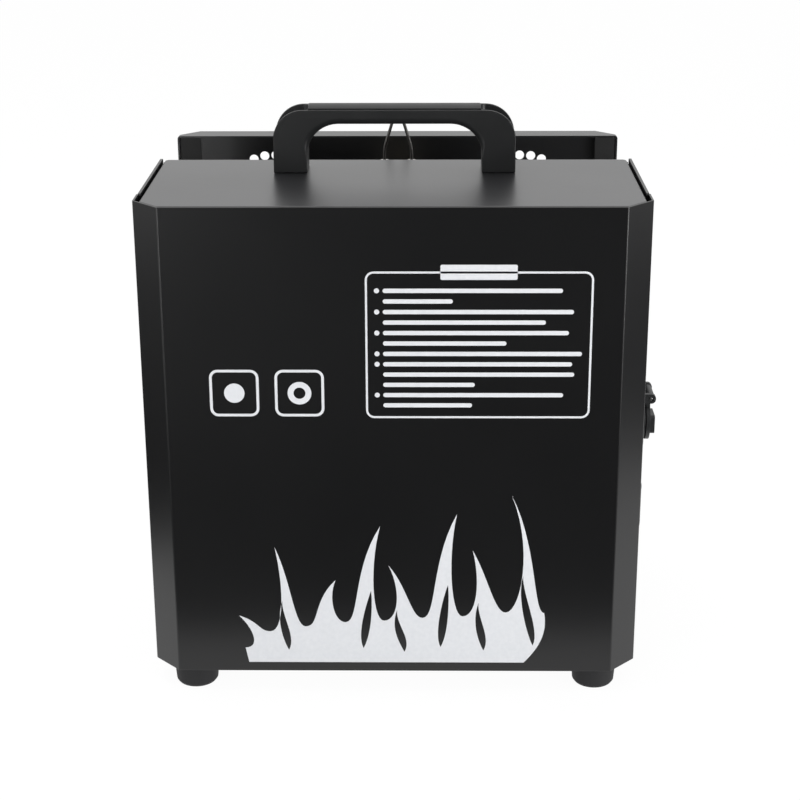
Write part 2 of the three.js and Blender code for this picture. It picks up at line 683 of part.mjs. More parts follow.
// Bracket that hangs the valve under the channel's floor
function valveBracketSheet() {
  const high = -seat - sheet;
  const right = [[valveBracket.half, -valveBracket.drop], [valveBracket.half, high]];
  const line = [...right, [valveBracket.half + valveBracket.flange, high]];
  const reach = valveBracket.depth / 2;
  const strip = standing(folded([...mirrored(line), ...line]), -reach, reach);
  const neck = circle(0, 0, adaptor.neckRadius + adaptor.play, adaptor.sides);
  return cut(strip, raised(neck, -valveBracket.drop - overrun, -valveBracket.drop + sheet + overrun));
}

// Valve body with its outlet boss on top and its armature tube to the front
function valveBody() {
  const { half, height, bossRadius, bossHeight, tubeRadius, tubeUp, nutRadius, nutHeight } = valve;
  const tubeEnd = -half - seat - coil.length - seat;
  const top = height + bossHeight;
  const body = join(
    block(-half, half, -half, half, 0, height),
    raised(circle(0, 0, bossRadius, valve.sides), height / 2, top),
    standing(circle(0, tubeUp, tubeRadius, valve.sides), tubeEnd - nutHeight, 0),
    standing(circle(0, tubeUp, nutRadius, valve.nutSides), tubeEnd - nutHeight, tubeEnd),
  );
  const socket = circle(0, 0, fuelTube.radius + seat, fuelTube.sides);
  const inlet = circle(0, 0, adaptor.passage, vent.sides);
  const socketLow = top - fuelTube.into - seat;
  return cut(body, raised(socket, socketLow, top + overrun), raised(inlet, -overrun, height / 2));
}

function valveCoil() {
  const back = -valve.half - seat;
  const front = back - coil.length;
  const housing = standing(rectangle(0, 0, coil.width, coil.height, coil.corner), front, back);
  const terminalFront = front + coil.corner;
  const terminal = block(
    coil.width / 2 - sheet, coil.width / 2 + coil.terminal,
    terminalFront, terminalFront + coil.terminalWidth, -coil.terminalWidth / 2, coil.terminalWidth / 2,
  );
  const bore = circle(0, 0, valve.tubeRadius + seat, valve.sides);
  return cut(join(housing, terminal), standing(bore, front - overrun, back + overrun));
}

// Socket that the can's own valve pushes into
function canAdaptor() {
  const { neckRadius, radius, height, boreRadius, boreDepth, passage, chamfer } = adaptor;
  const low = -seat - height;
  return turned([
    [boreRadius, low], [radius - chamfer, low], [radius, low + chamfer], [radius, -seat], [neckRadius, -seat],
    [neckRadius, sheet], [passage, sheet], [passage, low + boreDepth], [boreRadius, low + boreDepth],
    [boreRadius, low],
  ], adaptor.sides);
}

function ring(outer, inner, low, high, sides) {
  return turned([[inner, low], [outer, low], [outer, high], [inner, high], [inner, low]], sides);
}

function burnerBracket() {
  const right = [[burner.half, burner.height - sheet], [burner.half, seat]];
  const line = [...right, [burner.half + burner.flange, seat]];
  const strip = standing(folded([...mirrored(line), ...line]), -burner.depth / 2, burner.depth / 2);
  const holes = [circle(0, 0, nozzle.stemRadius + nozzle.play, nozzle.sides)];
  for (const side of [-1, 1]) {
    const x = (side * electrode.spacing) / 2;
    holes.push(circle(x, 0, insulator.radius + insulator.play, insulator.sides));
  }
  return cut(strip, raised(holes, burner.height - sheet - overrun, burner.height + overrun));
}

// Nozzle: pipe socket and hexagon below the bracket, stem and jet above it
function nozzleSolid() {
  const { low, socketDepth, skirtRadius, hexRadius, hexLow, stemRadius, shoulder, top, tipRadius } = nozzle;
  const bore = fuelTube.radius + seat;
  const hexHigh = burner.height - sheet - seat;
  const stem = turned([
    [0, low + socketDepth], [bore, low + socketDepth], [bore, low], [skirtRadius, low], [skirtRadius, hexLow],
    [stemRadius, hexLow], [stemRadius, shoulder], [tipRadius, top], [nozzle.jetRadius, top],
    [nozzle.jetRadius, top - nozzle.jetDepth], [0, top - nozzle.jetDepth],
  ], nozzle.sides);
  const hexagon = cut(
    raised(circle(0, 0, hexRadius, nozzle.hexSides), hexLow, hexHigh),
    raised(circle(0, 0, bore, fuelTube.sides), hexLow - overrun, low + socketDepth),
  );
  return join(stem, hexagon);
}

function insulatorSolid() {
  const { radius, low, top, collarRadius, collarHeight, chamfer } = insulator;
  const bore = electrode.radius + seat;
  const collarLow = burner.height + seat;
  const collarHigh = collarLow + collarHeight;
  return turned([
    [bore, low], [radius, low], [radius, collarLow], [collarRadius, collarLow],
    [collarRadius, collarHigh - chamfer], [collarRadius - chamfer, collarHigh], [radius, collarHigh],
    [radius, top - chamfer], [radius - chamfer, top], [bore, top], [bore, low],
  ], insulator.sides);
}

// Electrode: straight through its insulator, then leaning in to the spark gap
function electrodeRod(side) {
  const { low, top } = insulator;
  const path = route([
    new THREE.Vector3(0, 0, low - electrode.below),
    new THREE.Vector3(0, 0, top + electrode.rise),
    new THREE.Vector3((-side * (electrode.spacing - electrode.tipGap)) / 2, 0, top + electrode.tip),
  ], electrode.bend);
  return swept(path, electrode.radius, electrode.sides, electrode.steps);
}

// Ignition lead: down through the channel's floor, forward through the bulkhead and down to the igniter
function ignitionLead() {
  const y = wallY - sheet - lead.ahead;
  const path = route([
    new THREE.Vector3(0, channelY, wellZ + insulator.low - electrode.below - seat),
    new THREE.Vector3(0, channelY, leadZ),
    new THREE.Vector3(0, y, leadZ),
    new THREE.Vector3(0, y, igniterTopZ + seat),
  ], lead.bend);
  return swept(path, lead.radius, lead.sides, lead.steps);
}

// Igniter: a potted block with two ears on the bulkhead and two high-voltage bosses on top
function igniterSolid() {
  const half = igniter.width / 2;
  const earHalf = half + igniter.ear;
  const earHigh = igniter.height - igniter.ear;
  const bosses = [-1, 1].map((side) => {
    const x = (side * electrode.spacing) / 2;
    const section = circle(x, seat - lead.ahead, igniter.bossRadius, valve.sides);
    return raised(section, igniter.height / 2, igniter.height + igniter.bossHeight);
  });
  return join(
    block(-half, half, -igniter.depth, 0, 0, igniter.height),
    block(-earHalf, earHalf, -igniter.earThickness, 0, igniter.ear, earHigh),
    ...bosses,
  );
}

// Power supply: a closed case with a row of screw terminals on a step
function powerSupply() {
  const { length, width: across, height, step, terminals, rib } = psu;
  const shelf = height * psu.shelfShare;
  const pocket = (across - rib) / terminals - rib;
  const [right, high] = [length + overrun, height + overrun];
  const tools = [block(length - step, right, -overrun, across + overrun, shelf + rib, high)];
  for (let i = 0; i < terminals; i += 1) {
    const front = rib + i * (pocket + rib);
    tools.push(block(length - step + rib, right, front, front + pocket, shelf - rib, high));
  }
  return cut(block(0, length, 0, across, 0, height), ...tools);
}

function tiltSwitchSolid() {
  const { length, width: across, height, canRadius, base } = tiltSwitch;
  return join(
    block(-length / 2, length / 2, -across / 2, across / 2, 0, base),
    raised(circle(0, 0, canRadius, vent.sides), base / 2, height),
  );
}

// Fittings on the right side panel lie in their own frame: X to the back, Y up, Z outwards
function fitting(alongShare, z) {
  const made = group(machine, sideX, frontY + alongShare * frontBoxDepth, z);
  made.rotation.set(quarterTurn, quarterTurn, 0);
  return made;
}

// The square flange and round body that panel sockets share
function socketBody(thickness, bodyDepth) {
  return join(
    raised(rectangle(0, 0, flange.width, flange.height, flange.corner), seat, seat + thickness),
    raised(circle(0, 0, flange.bodyRadius, flange.sides), -bodyDepth, seat + thickness / 2),
  );
}

// Mains inlet: collar, deep cup with contact blades, and two ears for the cover's hinge
function powerInlet() {
  const face = seat + inlet.thickness + inlet.collarHeight;
  const { axisUp, axisOut, earRadius } = inlet;
  const [earLow, earHigh, earOut] = [axisUp - earRadius, axisUp + earRadius, axisOut + earRadius];
  const round = earRadius - seat;
  const ear = outline([[earLow, seat], [earHigh, seat], [earHigh, earOut, round], [earLow, earOut, round]]);
  const body = join(
    socketBody(inlet.thickness, inlet.bodyDepth),
    raised(circle(0, 0, inlet.collarRadius, flange.sides), seat, face),
    sideways(ear, inlet.earIn, inlet.earOut),
    sideways(ear, -inlet.earOut, -inlet.earIn),
  );
  const pinHole = circle(axisUp, axisOut, inlet.pinRadius + seat, vent.sides);
  const cup = circle(0, 0, inlet.boreRadius, flange.sides);
  const hollow = cut(
    body,
    raised(cup, face - inlet.boreDepth, face + overrun),
    sideways(pinHole, -inlet.earOut - overrun, inlet.earOut + overrun),
  );
  const floor = face - inlet.boreDepth;
  const blades = [];
  for (let i = 0; i < inlet.blades; i += 1) {
    blades.push(block(
      -inlet.bladeWidth / 2, inlet.bladeWidth / 2, inlet.bladeRing, inlet.bladeRing + inlet.bladeThickness,
      floor - sheet, floor + inlet.bladeHeight,
    ).rotateZ((fullTurn * i) / inlet.blades));
  }
  return join(hollow, ...blades);
}

// Sprung inlet cover, drawn from its hinge axis
function inletCover() {
  const low = seat + inlet.thickness + inlet.collarHeight + seat - inlet.axisOut;
  const high = low + flap.thickness;
  const out = flap.gripOut - inlet.axisOut;
  const gripMiddle = (flap.gripLow + flap.gripHigh) / 2 - inlet.axisUp;
  const grip = rectangle(0, gripMiddle, 2 * flap.gripHalf, flap.gripHigh - flap.gripLow, flap.corner);
  const barrelHalf = inlet.earIn - inlet.play;
  const lid = join(
    raised(circle(0, -inlet.axisUp, flap.radius, flange.sides), low, high),
    block(-flap.armHalf, flap.armHalf, -inlet.axisUp, 0, low, high),
    sideways(circle(0, 0, inlet.barrelRadius, flap.barrelSides), -barrelHalf, barrelHalf),
    raised(grip, (low + high) / 2, out),
  );
  const bore = circle(0, 0, inlet.pinRadius + seat, vent.sides);
  return cut(lid, sideways(bore, -inlet.earOut, inlet.earOut));
}

// Rocker switch body, with the well that its rocker tilts in
function switchBody() {
  const { bezelWidth, bezelHeight, bezelThickness, bodyWidth, bodyHeight, bodyDepth, corner } = rocker;
  const face = seat + bezelThickness;
  const body = join(
    raised(rectangle(0, 0, bezelWidth, bezelHeight, corner), seat, face),
    raised(rectangle(0, 0, bodyWidth, bodyHeight), -bodyDepth, seat + bezelThickness / 2),
  );
  const recess = rectangle(0, 0, rocker.recessWidth, 2 * rocker.recessHalf);
  return cut(body, raised(recess, face - rocker.recessDepth, face + overrun));
}

function switchRocker() {
  const { half, sideLow, rise, dip, belly, bellyDepth, recessWidth, play } = rocker;
  const profile = [
    [-half, sideLow], [-belly, -bellyDepth], [belly, -bellyDepth], [half, sideLow],
    [half, rise], [0, dip], [-half, rise],
  ];
  return sideways(outline(profile), play - recessWidth / 2, recessWidth / 2 - play);
}

function fuseHolder() {
  const face = seat + fuse.flangeHeight;
  return turned([
    [0, -fuse.barrelDepth], [fuse.barrelRadius, -fuse.barrelDepth], [fuse.barrelRadius, seat],
    [fuse.flangeRadius, seat], [fuse.flangeRadius, face], [fuse.boreRadius, face],
    [fuse.boreRadius, face - fuse.boreDepth], [0, face - fuse.boreDepth],
  ], fuse.sides);
}

// Fuse cap with a grooved edge and a screwdriver slot
function fuseCap() {
  const low = seat + fuse.flangeHeight + seat;
  const high = low + fuse.capHeight;
  const edge = [];
  for (let i = 0; i < 2 * fuse.ribs; i += 1) {
    const radius = i % 2 ? fuse.capRadius : fuse.capRadius - fuse.groove;
    const angle = (fullTurn * i) / (2 * fuse.ribs);
    edge.push(new THREE.Vector2(radius * Math.cos(angle), radius * Math.sin(angle)));
  }
  const cap = join(
    raised(edge, low, high),
    raised(circle(0, 0, fuse.stemRadius, fuse.sides), low - fuse.stemDepth, low + fuse.capHeight / 2),
  );
  const reach = fuse.capRadius + overrun;
  const slotHalf = fuse.slotWidth / 2;
  return cut(cap, block(-reach, reach, -slotHalf, slotHalf, high - fuse.slotDepth, high + overrun));
}

function pinPlaces() {
  const places = [];
  for (let i = 0; i < dmx.pins; i += 1) {
    const angle = quarterTurn + (fullTurn * i) / dmx.pins;
    places.push([dmx.pinRing * Math.cos(angle), dmx.pinRing * Math.sin(angle)]);
  }
  return places;
}

// Control input: a cup with three pins
function dmxInSocket() {
  const face = seat + dmx.thickness;
  const floor = face - dmx.cupDepth;
  const hollow = cut(
    socketBody(dmx.thickness, dmx.bodyDepth),
    raised(circle(0, 0, dmx.cupRadius, flange.sides), floor, face + overrun),
  );
  const pins = pinPlaces().map(([x, y]) => (
    raised(circle(x, y, dmx.pinRadius, dmx.holeSides), floor - sheet, floor + dmx.pinHeight)
  ));
  return join(hollow, ...pins);
}

// Control output: a plug face with three holes inside a ring groove, and a pocket for the release tab
function dmxOutSocket() {
  const face = seat + dmx.thickness;
  const floor = face - dmx.cupDepth;
  const holes = pinPlaces().map(([x, y]) => circle(x, y, dmx.holeRadius, dmx.holeSides));
  const pocketHalf = tab.half + tab.play;
  const pocket = block(
    -pocketHalf, pocketHalf, tab.low - tab.play, tab.high + tab.play, tab.pocketFloor, face + overrun,
  );
  return cut(
    socketBody(dmx.thickness, dmx.bodyDepth),
    ring(dmx.cupRadius, dmx.insertRadius, floor, face + overrun, flange.sides),
    raised(holes, face - dmx.holeDepth, face + overrun),
    pocket,
  );
}

// Control plate: window, button holes, and four posts that the circuit board stands on
function controlPlate() {
  const face = seat + control.thickness;
  const postX = control.openingWidth / 2 - control.postInset;
  const postY = control.openingHeight / 2 - control.postInset;
  const [postLow, postHigh] = [seat - control.boardDepth, seat + control.thickness / 2];
  const posts = [[-postX, -postY], [postX, -postY], [postX, postY], [-postX, postY]];
  const plate = join(
    raised(rectangle(0, 0, control.width, control.height, control.corner), seat, face),
    ...posts.map(([x, y]) => raised(circle(x, y, control.postRadius, control.postSides), postLow, postHigh)),
  );
  const openings = [rectangle(0, control.windowUp, control.windowWidth, control.windowHeight)];
  const holeRadius = control.buttonRadius + control.play;
  for (let i = 0; i < control.buttonCount; i += 1) {
    openings.push(circle(buttonX(i), -control.buttonDown, holeRadius, control.sides));
  }
  return cut(plate, raised(openings, seat - overrun / 2, face + overrun));
}

function buttonX(i) {
  return (i - (control.buttonCount - 1) / 2) * control.buttonPitch;
}

function buttonSolid() {
  const { buttonRadius, buttonOut, collarRadius, collarHeight, stemRadius, stem, dome } = control;
  return turned([
    [0, -collarHeight - stem], [stemRadius, -collarHeight - stem], [stemRadius, -collarHeight],
    [collarRadius, -collarHeight], [collarRadius, 0], [buttonRadius, 0], [buttonRadius, buttonOut - dome],
    [buttonRadius - dome, buttonOut], [0, buttonOut],
  ], control.sides);
}

// Circuit board with a key switch under each button and a row of sockets behind
function controlBoard() {
  const wide = control.openingWidth / 2 + control.boardLap;
  const high = control.openingHeight / 2 + control.boardLap;
  const top = -control.boardDepth;
  const low = top - control.boardThickness;
  const keys = [];
  const keyLow = top - control.boardThickness / 2;
  for (let i = 0; i < control.buttonCount; i += 1) {
    const [x, y] = [buttonX(i), -control.buttonDown];
    const key = control.keyHalf;
    keys.push(block(x - key, x + key, y - key, y + key, keyLow, top + control.keyHeight));
  }
  const sockets = [-1, 1].map((side) => block(
    side * control.buttonPitch - control.keyHalf, side * control.buttonPitch + 2 * control.keyHalf,
    -2 * control.keyHalf, control.keyHalf, low - control.moduleHeight, low + control.boardThickness / 2,
  ));
  return join(block(-wide, wide, -high, high, low, top), ...keys, ...sockets);
}

// Gas can door, drawn from its hinge axis
function canDoor() {
  const left = door.gap / 2;
  const right = left + 2 * door.half;
  const face = -hinge.radius - seat;
  const back = face - sheet;
  const [centreX, centreZ] = [(left + right) / 2, (doorLowZ + doorHighZ) / 2];
  const panel = standing(
    rectangle(centreX, centreZ, right - left, doorHighZ - doorLowZ, door.corner), back, face,
  );
  const foldLeft = left + door.corner;
  const foldRight = right - door.corner;
  const slots = [];
  for (let i = 0; i < doorSlot.count; i += 1) {
    const z = doorLowZ + doorSlot.above + i * doorSlot.pitch;
    slots.push(rectangle(centreX, z, doorSlot.length, doorSlot.width));
  }
  slots.push(circle(latchX, latchZ, latch.spindle + latch.play, latch.sides));
  return cut(
    join(
      panel,
      block(foldLeft, foldRight, face - door.fold, back + sheet / 2, doorLowZ, doorLowZ + sheet),
      block(foldLeft, foldRight, face - door.fold, back + sheet / 2, doorHighZ - sheet, doorHighZ),
    ),
    standing(slots, back - overrun, face + overrun),
  );
}

// One leaf of the door's hinge: a plate with every other knuckle, on the side that its sign gives
function hingeLeaf(side, first) {
  const step = hingeLength / hinge.knuckles;
  const near = side * (hinge.radius + seat);
  const far = side * (hinge.radius + hinge.leaf);
  const [plateBack, plateFront] = [-hinge.radius + hinge.thickness, -hinge.radius];
  const parts = [block(Math.min(near, far), Math.max(near, far), plateFront, plateBack, 0, hingeLength)];
  for (let i = first; i < hinge.knuckles; i += 2) {
    const [low, high] = [i * step + seat / 2, (i + 1) * step - seat / 2];
    const reach = near + side * seat;
    parts.push(block(Math.min(0, reach), Math.max(0, reach), plateFront, plateBack, low, high));
    parts.push(raised(circle(0, 0, hinge.radius, hinge.sides), low, high));
  }
  const bore = raised(circle(0, 0, hinge.pinRadius + seat, hinge.sides), -overrun, hingeLength + overrun);
  return cut(join(...parts), bore);
}

// Quarter-turn latch: head and bar outside, spindle through the door, stub and nut for the cam
function doorLatch() {
  const { headRadius, headHeight, spindle, stub, behind, camThickness, nutRadius, nutHeight } = latch;
  const camOut = -sheet - behind;
  const camIn = camOut - camThickness;
  const head = seat + headHeight;
  const body = turned([
    [0, camIn - seat - nutHeight], [nutRadius, camIn - seat - nutHeight], [nutRadius, camIn - seat],
    [stub, camIn - seat], [stub, camOut + seat], [spindle, camOut + seat], [spindle, seat],
    [headRadius, seat], [headRadius, head], [0, head],
  ], latch.sides).rotateX(-quarterTurn);
  const bar = block(
    -latch.barWidth / 2, latch.barWidth / 2, head - headHeight / 2, head + latch.barHeight,
    -latch.barLength / 2, latch.barLength / 2,
  );
  return join(body, bar);
}

function latchCam() {
  const half = latch.camWidth / 2;
  const out = -sheet - latch.behind;
  const round = half - seat;
  const lever = outline([
    [-half, -half, round], [half, -half, round], [half, latch.camReach, latch.camThickness],
    [-half, latch.camReach, latch.camThickness],
  ]);
  const hole = circle(0, 0, latch.stub + seat, latch.sides);
  return cut(
    standing(lever, out - latch.camThickness, out),
    standing(hole, out - latch.camThickness - overrun, out + overrun),
  );
}

// Housing
const inletZ = bottomZ + rowHeightShares.inlet * coverHeight;
const dmxZ = bottomZ + rowHeightShares.dmx * coverHeight;
const controlZ = deckZ - control.belowDeck;
const along = (share) => frontY + share * frontBoxDepth;
const bodyHole = flange.bodyRadius + flange.play;
const panelOpenings = [
  circle(along(alongShares.inlet), inletZ - bottomZ, bodyHole, flange.sides),
  circle(along(alongShares.dmxIn), dmxZ - bottomZ, bodyHole, flange.sides),
  circle(along(alongShares.dmxOut), dmxZ - bottomZ, bodyHole, flange.sides),
  circle(along(alongShares.fuse), inletZ - bottomZ, fuse.barrelRadius + flange.play, fuse.sides),
  rectangle(
    along(alongShares.rocker), inletZ - bottomZ,
    rocker.bodyWidth + 2 * flange.play, rocker.bodyHeight + 2 * flange.play,
  ),
  rectangle(along(alongShares.control), controlZ - bottomZ, control.openingWidth, control.openingHeight),
];
piece('front_cover', frontCover(), blackCoat, machine, 0, 0, bottomZ);
piece('rear_cover', rearCover(), blackCoat, machine, 0, 0, bottomZ);
piece('left_side_panel', sidePanelSheet(-1), blackCoat, machine, 0, 0, bottomZ);
piece('right_side_panel', sidePanelSheet(1, panelOpenings), blackCoat, machine, 0, 0, bottomZ);
piece('base_pan', basePan(), blackCoat, machine, 0, 0, panZ);
piece('top_plate', topPlate(), blackCoat, machine, 0, 0, deckZ);
piece('well_tray', wellTray(), blackCoat, machine, 0, 0, wellUnderZ);
piece('bulkhead', bulkheadSheet(), zincSteel, machine, 0, 0, panTopZ + seat);
piece('left_bay_wall', bayWall(-1), zincSteel, machine, 0, 0, panTopZ + seat);
piece('right_bay_wall', bayWall(1), zincSteel, machine, 0, 0, panTopZ + seat);
for (const [name, sideSign, endSign] of [
  ['front_left_foot', -1, -1], ['front_right_foot', 1, -1],
  ['rear_left_foot', -1, 1], ['rear_right_foot', 1, 1],
]) {
  const x = sideSign * (width / 2 - foot.inX);
  piece(name, rubberFoot(), rubber, machine, x, endSign * (depth / 2 - foot.inY), 0);
}

// Carry handle
const handleGroup = group(machine, 0, handleY, deckZ + seat);
piece('carry_handle', carryHandle(), blackPlastic, handleGroup);
piece('left_handle_screw', handleScrewSolid(), zincSteel, handleGroup, -handleScrewX);
piece('right_handle_screw', handleScrewSolid(), zincSteel, handleGroup, handleScrewX);

// Can bay
const canGroup = group(machine, burnerX, channelY, panTopZ + seat);
piece('can_cup', canCup(), blackPlastic, canGroup);
piece('can_clip', canClip(), bareSteel, canGroup, 0, 0, clip.above);

// Valve under the channel's floor
const valveGroup = group(machine, burnerX, channelY, wellUnderZ);
const valveBaseZ = -valveBracket.drop + sheet + seat;
piece('valve_bracket', valveBracketSheet(), zincSteel, valveGroup);
piece('valve_body', valveBody(), brass, valveGroup, 0, 0, valveBaseZ);
piece('valve_coil', valveCoil(), greyPlastic, valveGroup, 0, 0, valveBaseZ + valve.tubeUp);
piece('can_adaptor', canAdaptor(), brass, valveGroup, 0, 0, -valveBracket.drop);
const sealTop = -adaptor.height - seat + adaptor.boreDepth - seat;
piece(
  'adaptor_seal',
  ring(adaptor.boreRadius - seat, seal.bore, sealTop - seal.thickness, sealTop, adaptor.sides),
  rubber, valveGroup, 0, 0, -valveBracket.drop,
);

// Burner in the channel
const burnerGroup = group(machine, burnerX, channelY, wellZ);
const tubeLow = valveBaseZ + valve.height + valve.bossHeight - fuelTube.into - sheet;
const tubeHigh = nozzle.low + nozzle.socketDepth - seat;
piece('burner_bracket', burnerBracket(), bareSteel, burnerGroup);
piece(
  'fuel_tube', ring(fuelTube.radius, fuelTube.bore, tubeLow, tubeHigh, fuelTube.sides),
  copper, burnerGroup,
);
piece('nozzle', nozzleSolid(), brass, burnerGroup);
for (const [name, sideSign] of [['left', -1], ['right', 1]]) {
  const x = (sideSign * electrode.spacing) / 2;
  piece(`${name}_insulator`, insulatorSolid(), ceramic, burnerGroup, x);
  piece(`${name}_electrode`, electrodeRod(sideSign), bareSteel, burnerGroup, x);
  piece(`${name}_ignition_lead`, ignitionLead(), redSilicone, machine, burnerX + x);
}

// Electronics
const igniterLowZ = igniterTopZ - igniter.bossHeight - igniter.height;
piece('igniter_module', igniterSolid(), greyPlastic, machine, burnerX, wallY - sheet - seat, igniterLowZ);
piece(
  'power_supply', powerSupply(), zincSteel, machine,
  psu.fromLeft - innerX, frontY + psu.fromFront, panTopZ + seat,
);
piece(
  'tilt_switch', tiltSwitchSolid(), greyPlastic, machine,
  innerX - tiltSwitch.fromRight, frontY + tiltSwitch.fromFront, panTopZ + seat,
);

// Control plate, board, window and buttons
const controlGroup = fitting(alongShares.control, controlZ);
piece('control_plate', controlPlate(), blackPlastic, controlGroup);
piece('control_board', controlBoard(), boardGreen, controlGroup);
const lensWide = control.windowWidth - 2 * seat;
const lensHigh = control.windowHeight - 2 * seat;
piece(
  'display_window', raised(rectangle(0, control.windowUp, lensWide, lensHigh), seat, seat + control.lens),
  smokedGlass, controlGroup,
);
piece(
  'display_module',
  raised(
    rectangle(0, control.windowUp, lensWide - 2 * control.lens, lensHigh - 2 * control.lens),
    seat - control.boardDepth, seat - control.boardDepth + control.moduleHeight,
  ),
  blackPlastic, controlGroup,
);
for (let i = 0; i < control.buttonCount; i += 1) {
  piece(`menu_button_${i + 1}`, buttonSolid(), greyPlastic, controlGroup, buttonX(i), -control.buttonDown);
}

// Power inlet, switch and fuse
const inletGroup = fitting(alongShares.inlet, inletZ);
piece('power_inlet', powerInlet(), blackPlastic, inletGroup);
const coverGroup = group(inletGroup, 0, inlet.axisUp, inlet.axisOut);
piece('inlet_cover', inletCover(), blackPlastic, coverGroup);
piece(
  'inlet_hinge_pin', sideways(circle(0, 0, inlet.pinRadius, vent.sides), -inlet.earOut, inlet.earOut),
  bareSteel, coverGroup,
);
const switchGroup = fitting(alongShares.rocker, inletZ);
piece('power_switch_body', switchBody(), blackPlastic, switchGroup);
const rockerGroup = group(switchGroup, 0, 0, -rocker.pivotIn);
rockerGroup.rotation.x = rocker.tilt;
piece('power_switch_rocker', switchRocker(), blackPlastic, rockerGroup);
const fuseGroup = fitting(alongShares.fuse, inletZ);
piece('fuse_holder', fuseHolder(), blackPlastic, fuseGroup);
piece('fuse_cap', fuseCap(), blackPlastic, fuseGroup);

// Control sockets
piece('dmx_in_socket', dmxInSocket(), blackPlastic, fitting(alongShares.dmxIn, dmxZ));
const dmxOutGroup = fitting(alongShares.dmxOut, dmxZ);
piece('dmx_out_socket', dmxOutSocket(), blackPlastic, dmxOutGroup);
piece(
  'dmx_latch_tab', block(-tab.half, tab.half, tab.low, tab.high, tab.foot, tab.out),
  bareSteel, dmxOutGroup,
);

// Gas can door, hinged on its left edge
const hingeX = -door.half - door.gap / 2;
const hingeY = rearY + seat + hinge.radius;
const hingeLowZ = (doorLowZ + doorHighZ - hingeLength) / 2;
const doorGroup = group(machine, hingeX, hingeY, 0);
piece('can_door', canDoor(), blackCoat, doorGroup);
piece('door_hinge_fixed_leaf', hingeLeaf(-1, 0), zincSteel, doorGroup, 0, 0, hingeLowZ);
piece('door_hinge_moving_leaf', hingeLeaf(1, 1), zincSteel, doorGroup, 0, 0, hingeLowZ);
piece(
  'door_hinge_pin',
  raised(circle(0, 0, hinge.pinRadius, hinge.sides), -hinge.pinOut, hingeLength + hinge.pinOut),
  bareSteel, doorGroup, 0, 0, hingeLowZ,
);
const latchGroup = group(doorGroup, latchX, rearY - hingeY, latchZ);
piece('door_latch', doorLatch(), zincSteel, latchGroup);
piece('latch_cam', latchCam(), zincSteel, latchGroup);

// The origin is the middle of the whole box at floor level
machine.updateMatrixWorld(true);
const extent = new THREE.Box3().setFromObject(machine);
const middle = extent.getCenter(new THREE.Vector3());
machine.position.set(-middle.x, -middle.y, -extent.min.z);
machine.updateMatrixWorld(true);

export default machine;
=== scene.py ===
import json
import math

import bmesh
import bpy
from mathutils import Matrix, Vector
from mathutils.geometry import tessellate_polygon

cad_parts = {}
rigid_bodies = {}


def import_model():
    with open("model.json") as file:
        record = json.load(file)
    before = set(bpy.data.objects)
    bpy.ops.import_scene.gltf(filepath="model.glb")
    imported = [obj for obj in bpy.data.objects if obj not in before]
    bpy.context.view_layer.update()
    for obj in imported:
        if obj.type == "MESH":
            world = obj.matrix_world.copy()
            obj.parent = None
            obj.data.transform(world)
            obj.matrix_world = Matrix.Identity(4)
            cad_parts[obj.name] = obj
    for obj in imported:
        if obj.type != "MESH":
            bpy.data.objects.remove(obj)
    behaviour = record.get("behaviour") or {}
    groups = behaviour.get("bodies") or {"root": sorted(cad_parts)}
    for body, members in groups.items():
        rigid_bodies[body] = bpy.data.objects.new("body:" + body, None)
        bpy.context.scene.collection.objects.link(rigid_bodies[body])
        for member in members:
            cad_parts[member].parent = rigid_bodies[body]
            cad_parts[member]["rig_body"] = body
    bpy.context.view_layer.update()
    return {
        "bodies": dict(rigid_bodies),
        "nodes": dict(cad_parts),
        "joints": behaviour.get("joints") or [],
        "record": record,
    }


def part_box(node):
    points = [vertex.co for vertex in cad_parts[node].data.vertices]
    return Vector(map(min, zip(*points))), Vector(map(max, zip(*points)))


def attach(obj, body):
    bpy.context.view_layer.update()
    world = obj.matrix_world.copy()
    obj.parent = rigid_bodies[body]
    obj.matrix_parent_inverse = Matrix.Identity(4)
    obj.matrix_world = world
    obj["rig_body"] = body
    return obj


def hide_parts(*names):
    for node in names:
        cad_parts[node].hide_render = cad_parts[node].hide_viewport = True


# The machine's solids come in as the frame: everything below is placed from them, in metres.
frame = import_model()
nodes = frame["nodes"]
mm = 0.001
cover_low, cover_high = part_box("front_cover")
middle_x = (cover_low.x + cover_high.x) / 2

# The camera stands about a metre in front of the machine, a touch to its right and above it.
# It looks down at the front face and along the top plate.
camera = bpy.data.objects.new("camera", bpy.data.cameras.new("camera"))
camera.data.sensor_width = 36
camera.data.lens = 80.3
camera_aside, camera_back, camera_above = 17.5 * mm, 985.6 * mm, 239.6 * mm
camera_swing, camera_dip, camera_roll = 0.78, 19.82, -0.215
camera.location = (middle_x + camera_aside, cover_low.y - camera_back, cover_high.z + camera_above)
aim = (
    Matrix.Rotation(math.radians(camera_swing), 3, "Z")
    @ Matrix.Rotation(math.radians(90 - camera_dip), 3, "X")
    @ Matrix.Rotation(math.radians(camera_roll), 3, "Z")
)
camera.rotation_euler = aim.to_euler()
bpy.context.scene.collection.objects.link(camera)
bpy.context.scene.camera = camera
bpy.context.scene.view_settings.view_transform = "Standard"


# The studio is a white floor under a white surround, four soft lamps, and dark cloths round the machine.
# The cloths keep its upright faces dark, and they lie and hang where the camera doesn't see them.
class Wire:
    """What comes out of a node, so that a sum on it is written as plain arithmetic."""

    def __init__(self, look, socket):
        self.look = look
        self.socket = socket

    def sum(self, operation, first, second):
        return self.look.node("ShaderNodeMath", {"operation": operation}, {0: first, 1: second})

    def __add__(self, other):
        return self.sum("ADD", self, other)

    def __radd__(self, other):
        return self.sum("ADD", other, self)

    def __mul__(self, other):
        return self.sum("MULTIPLY", self, other)

    def __rmul__(self, other):
        return self.sum("MULTIPLY", other, self)


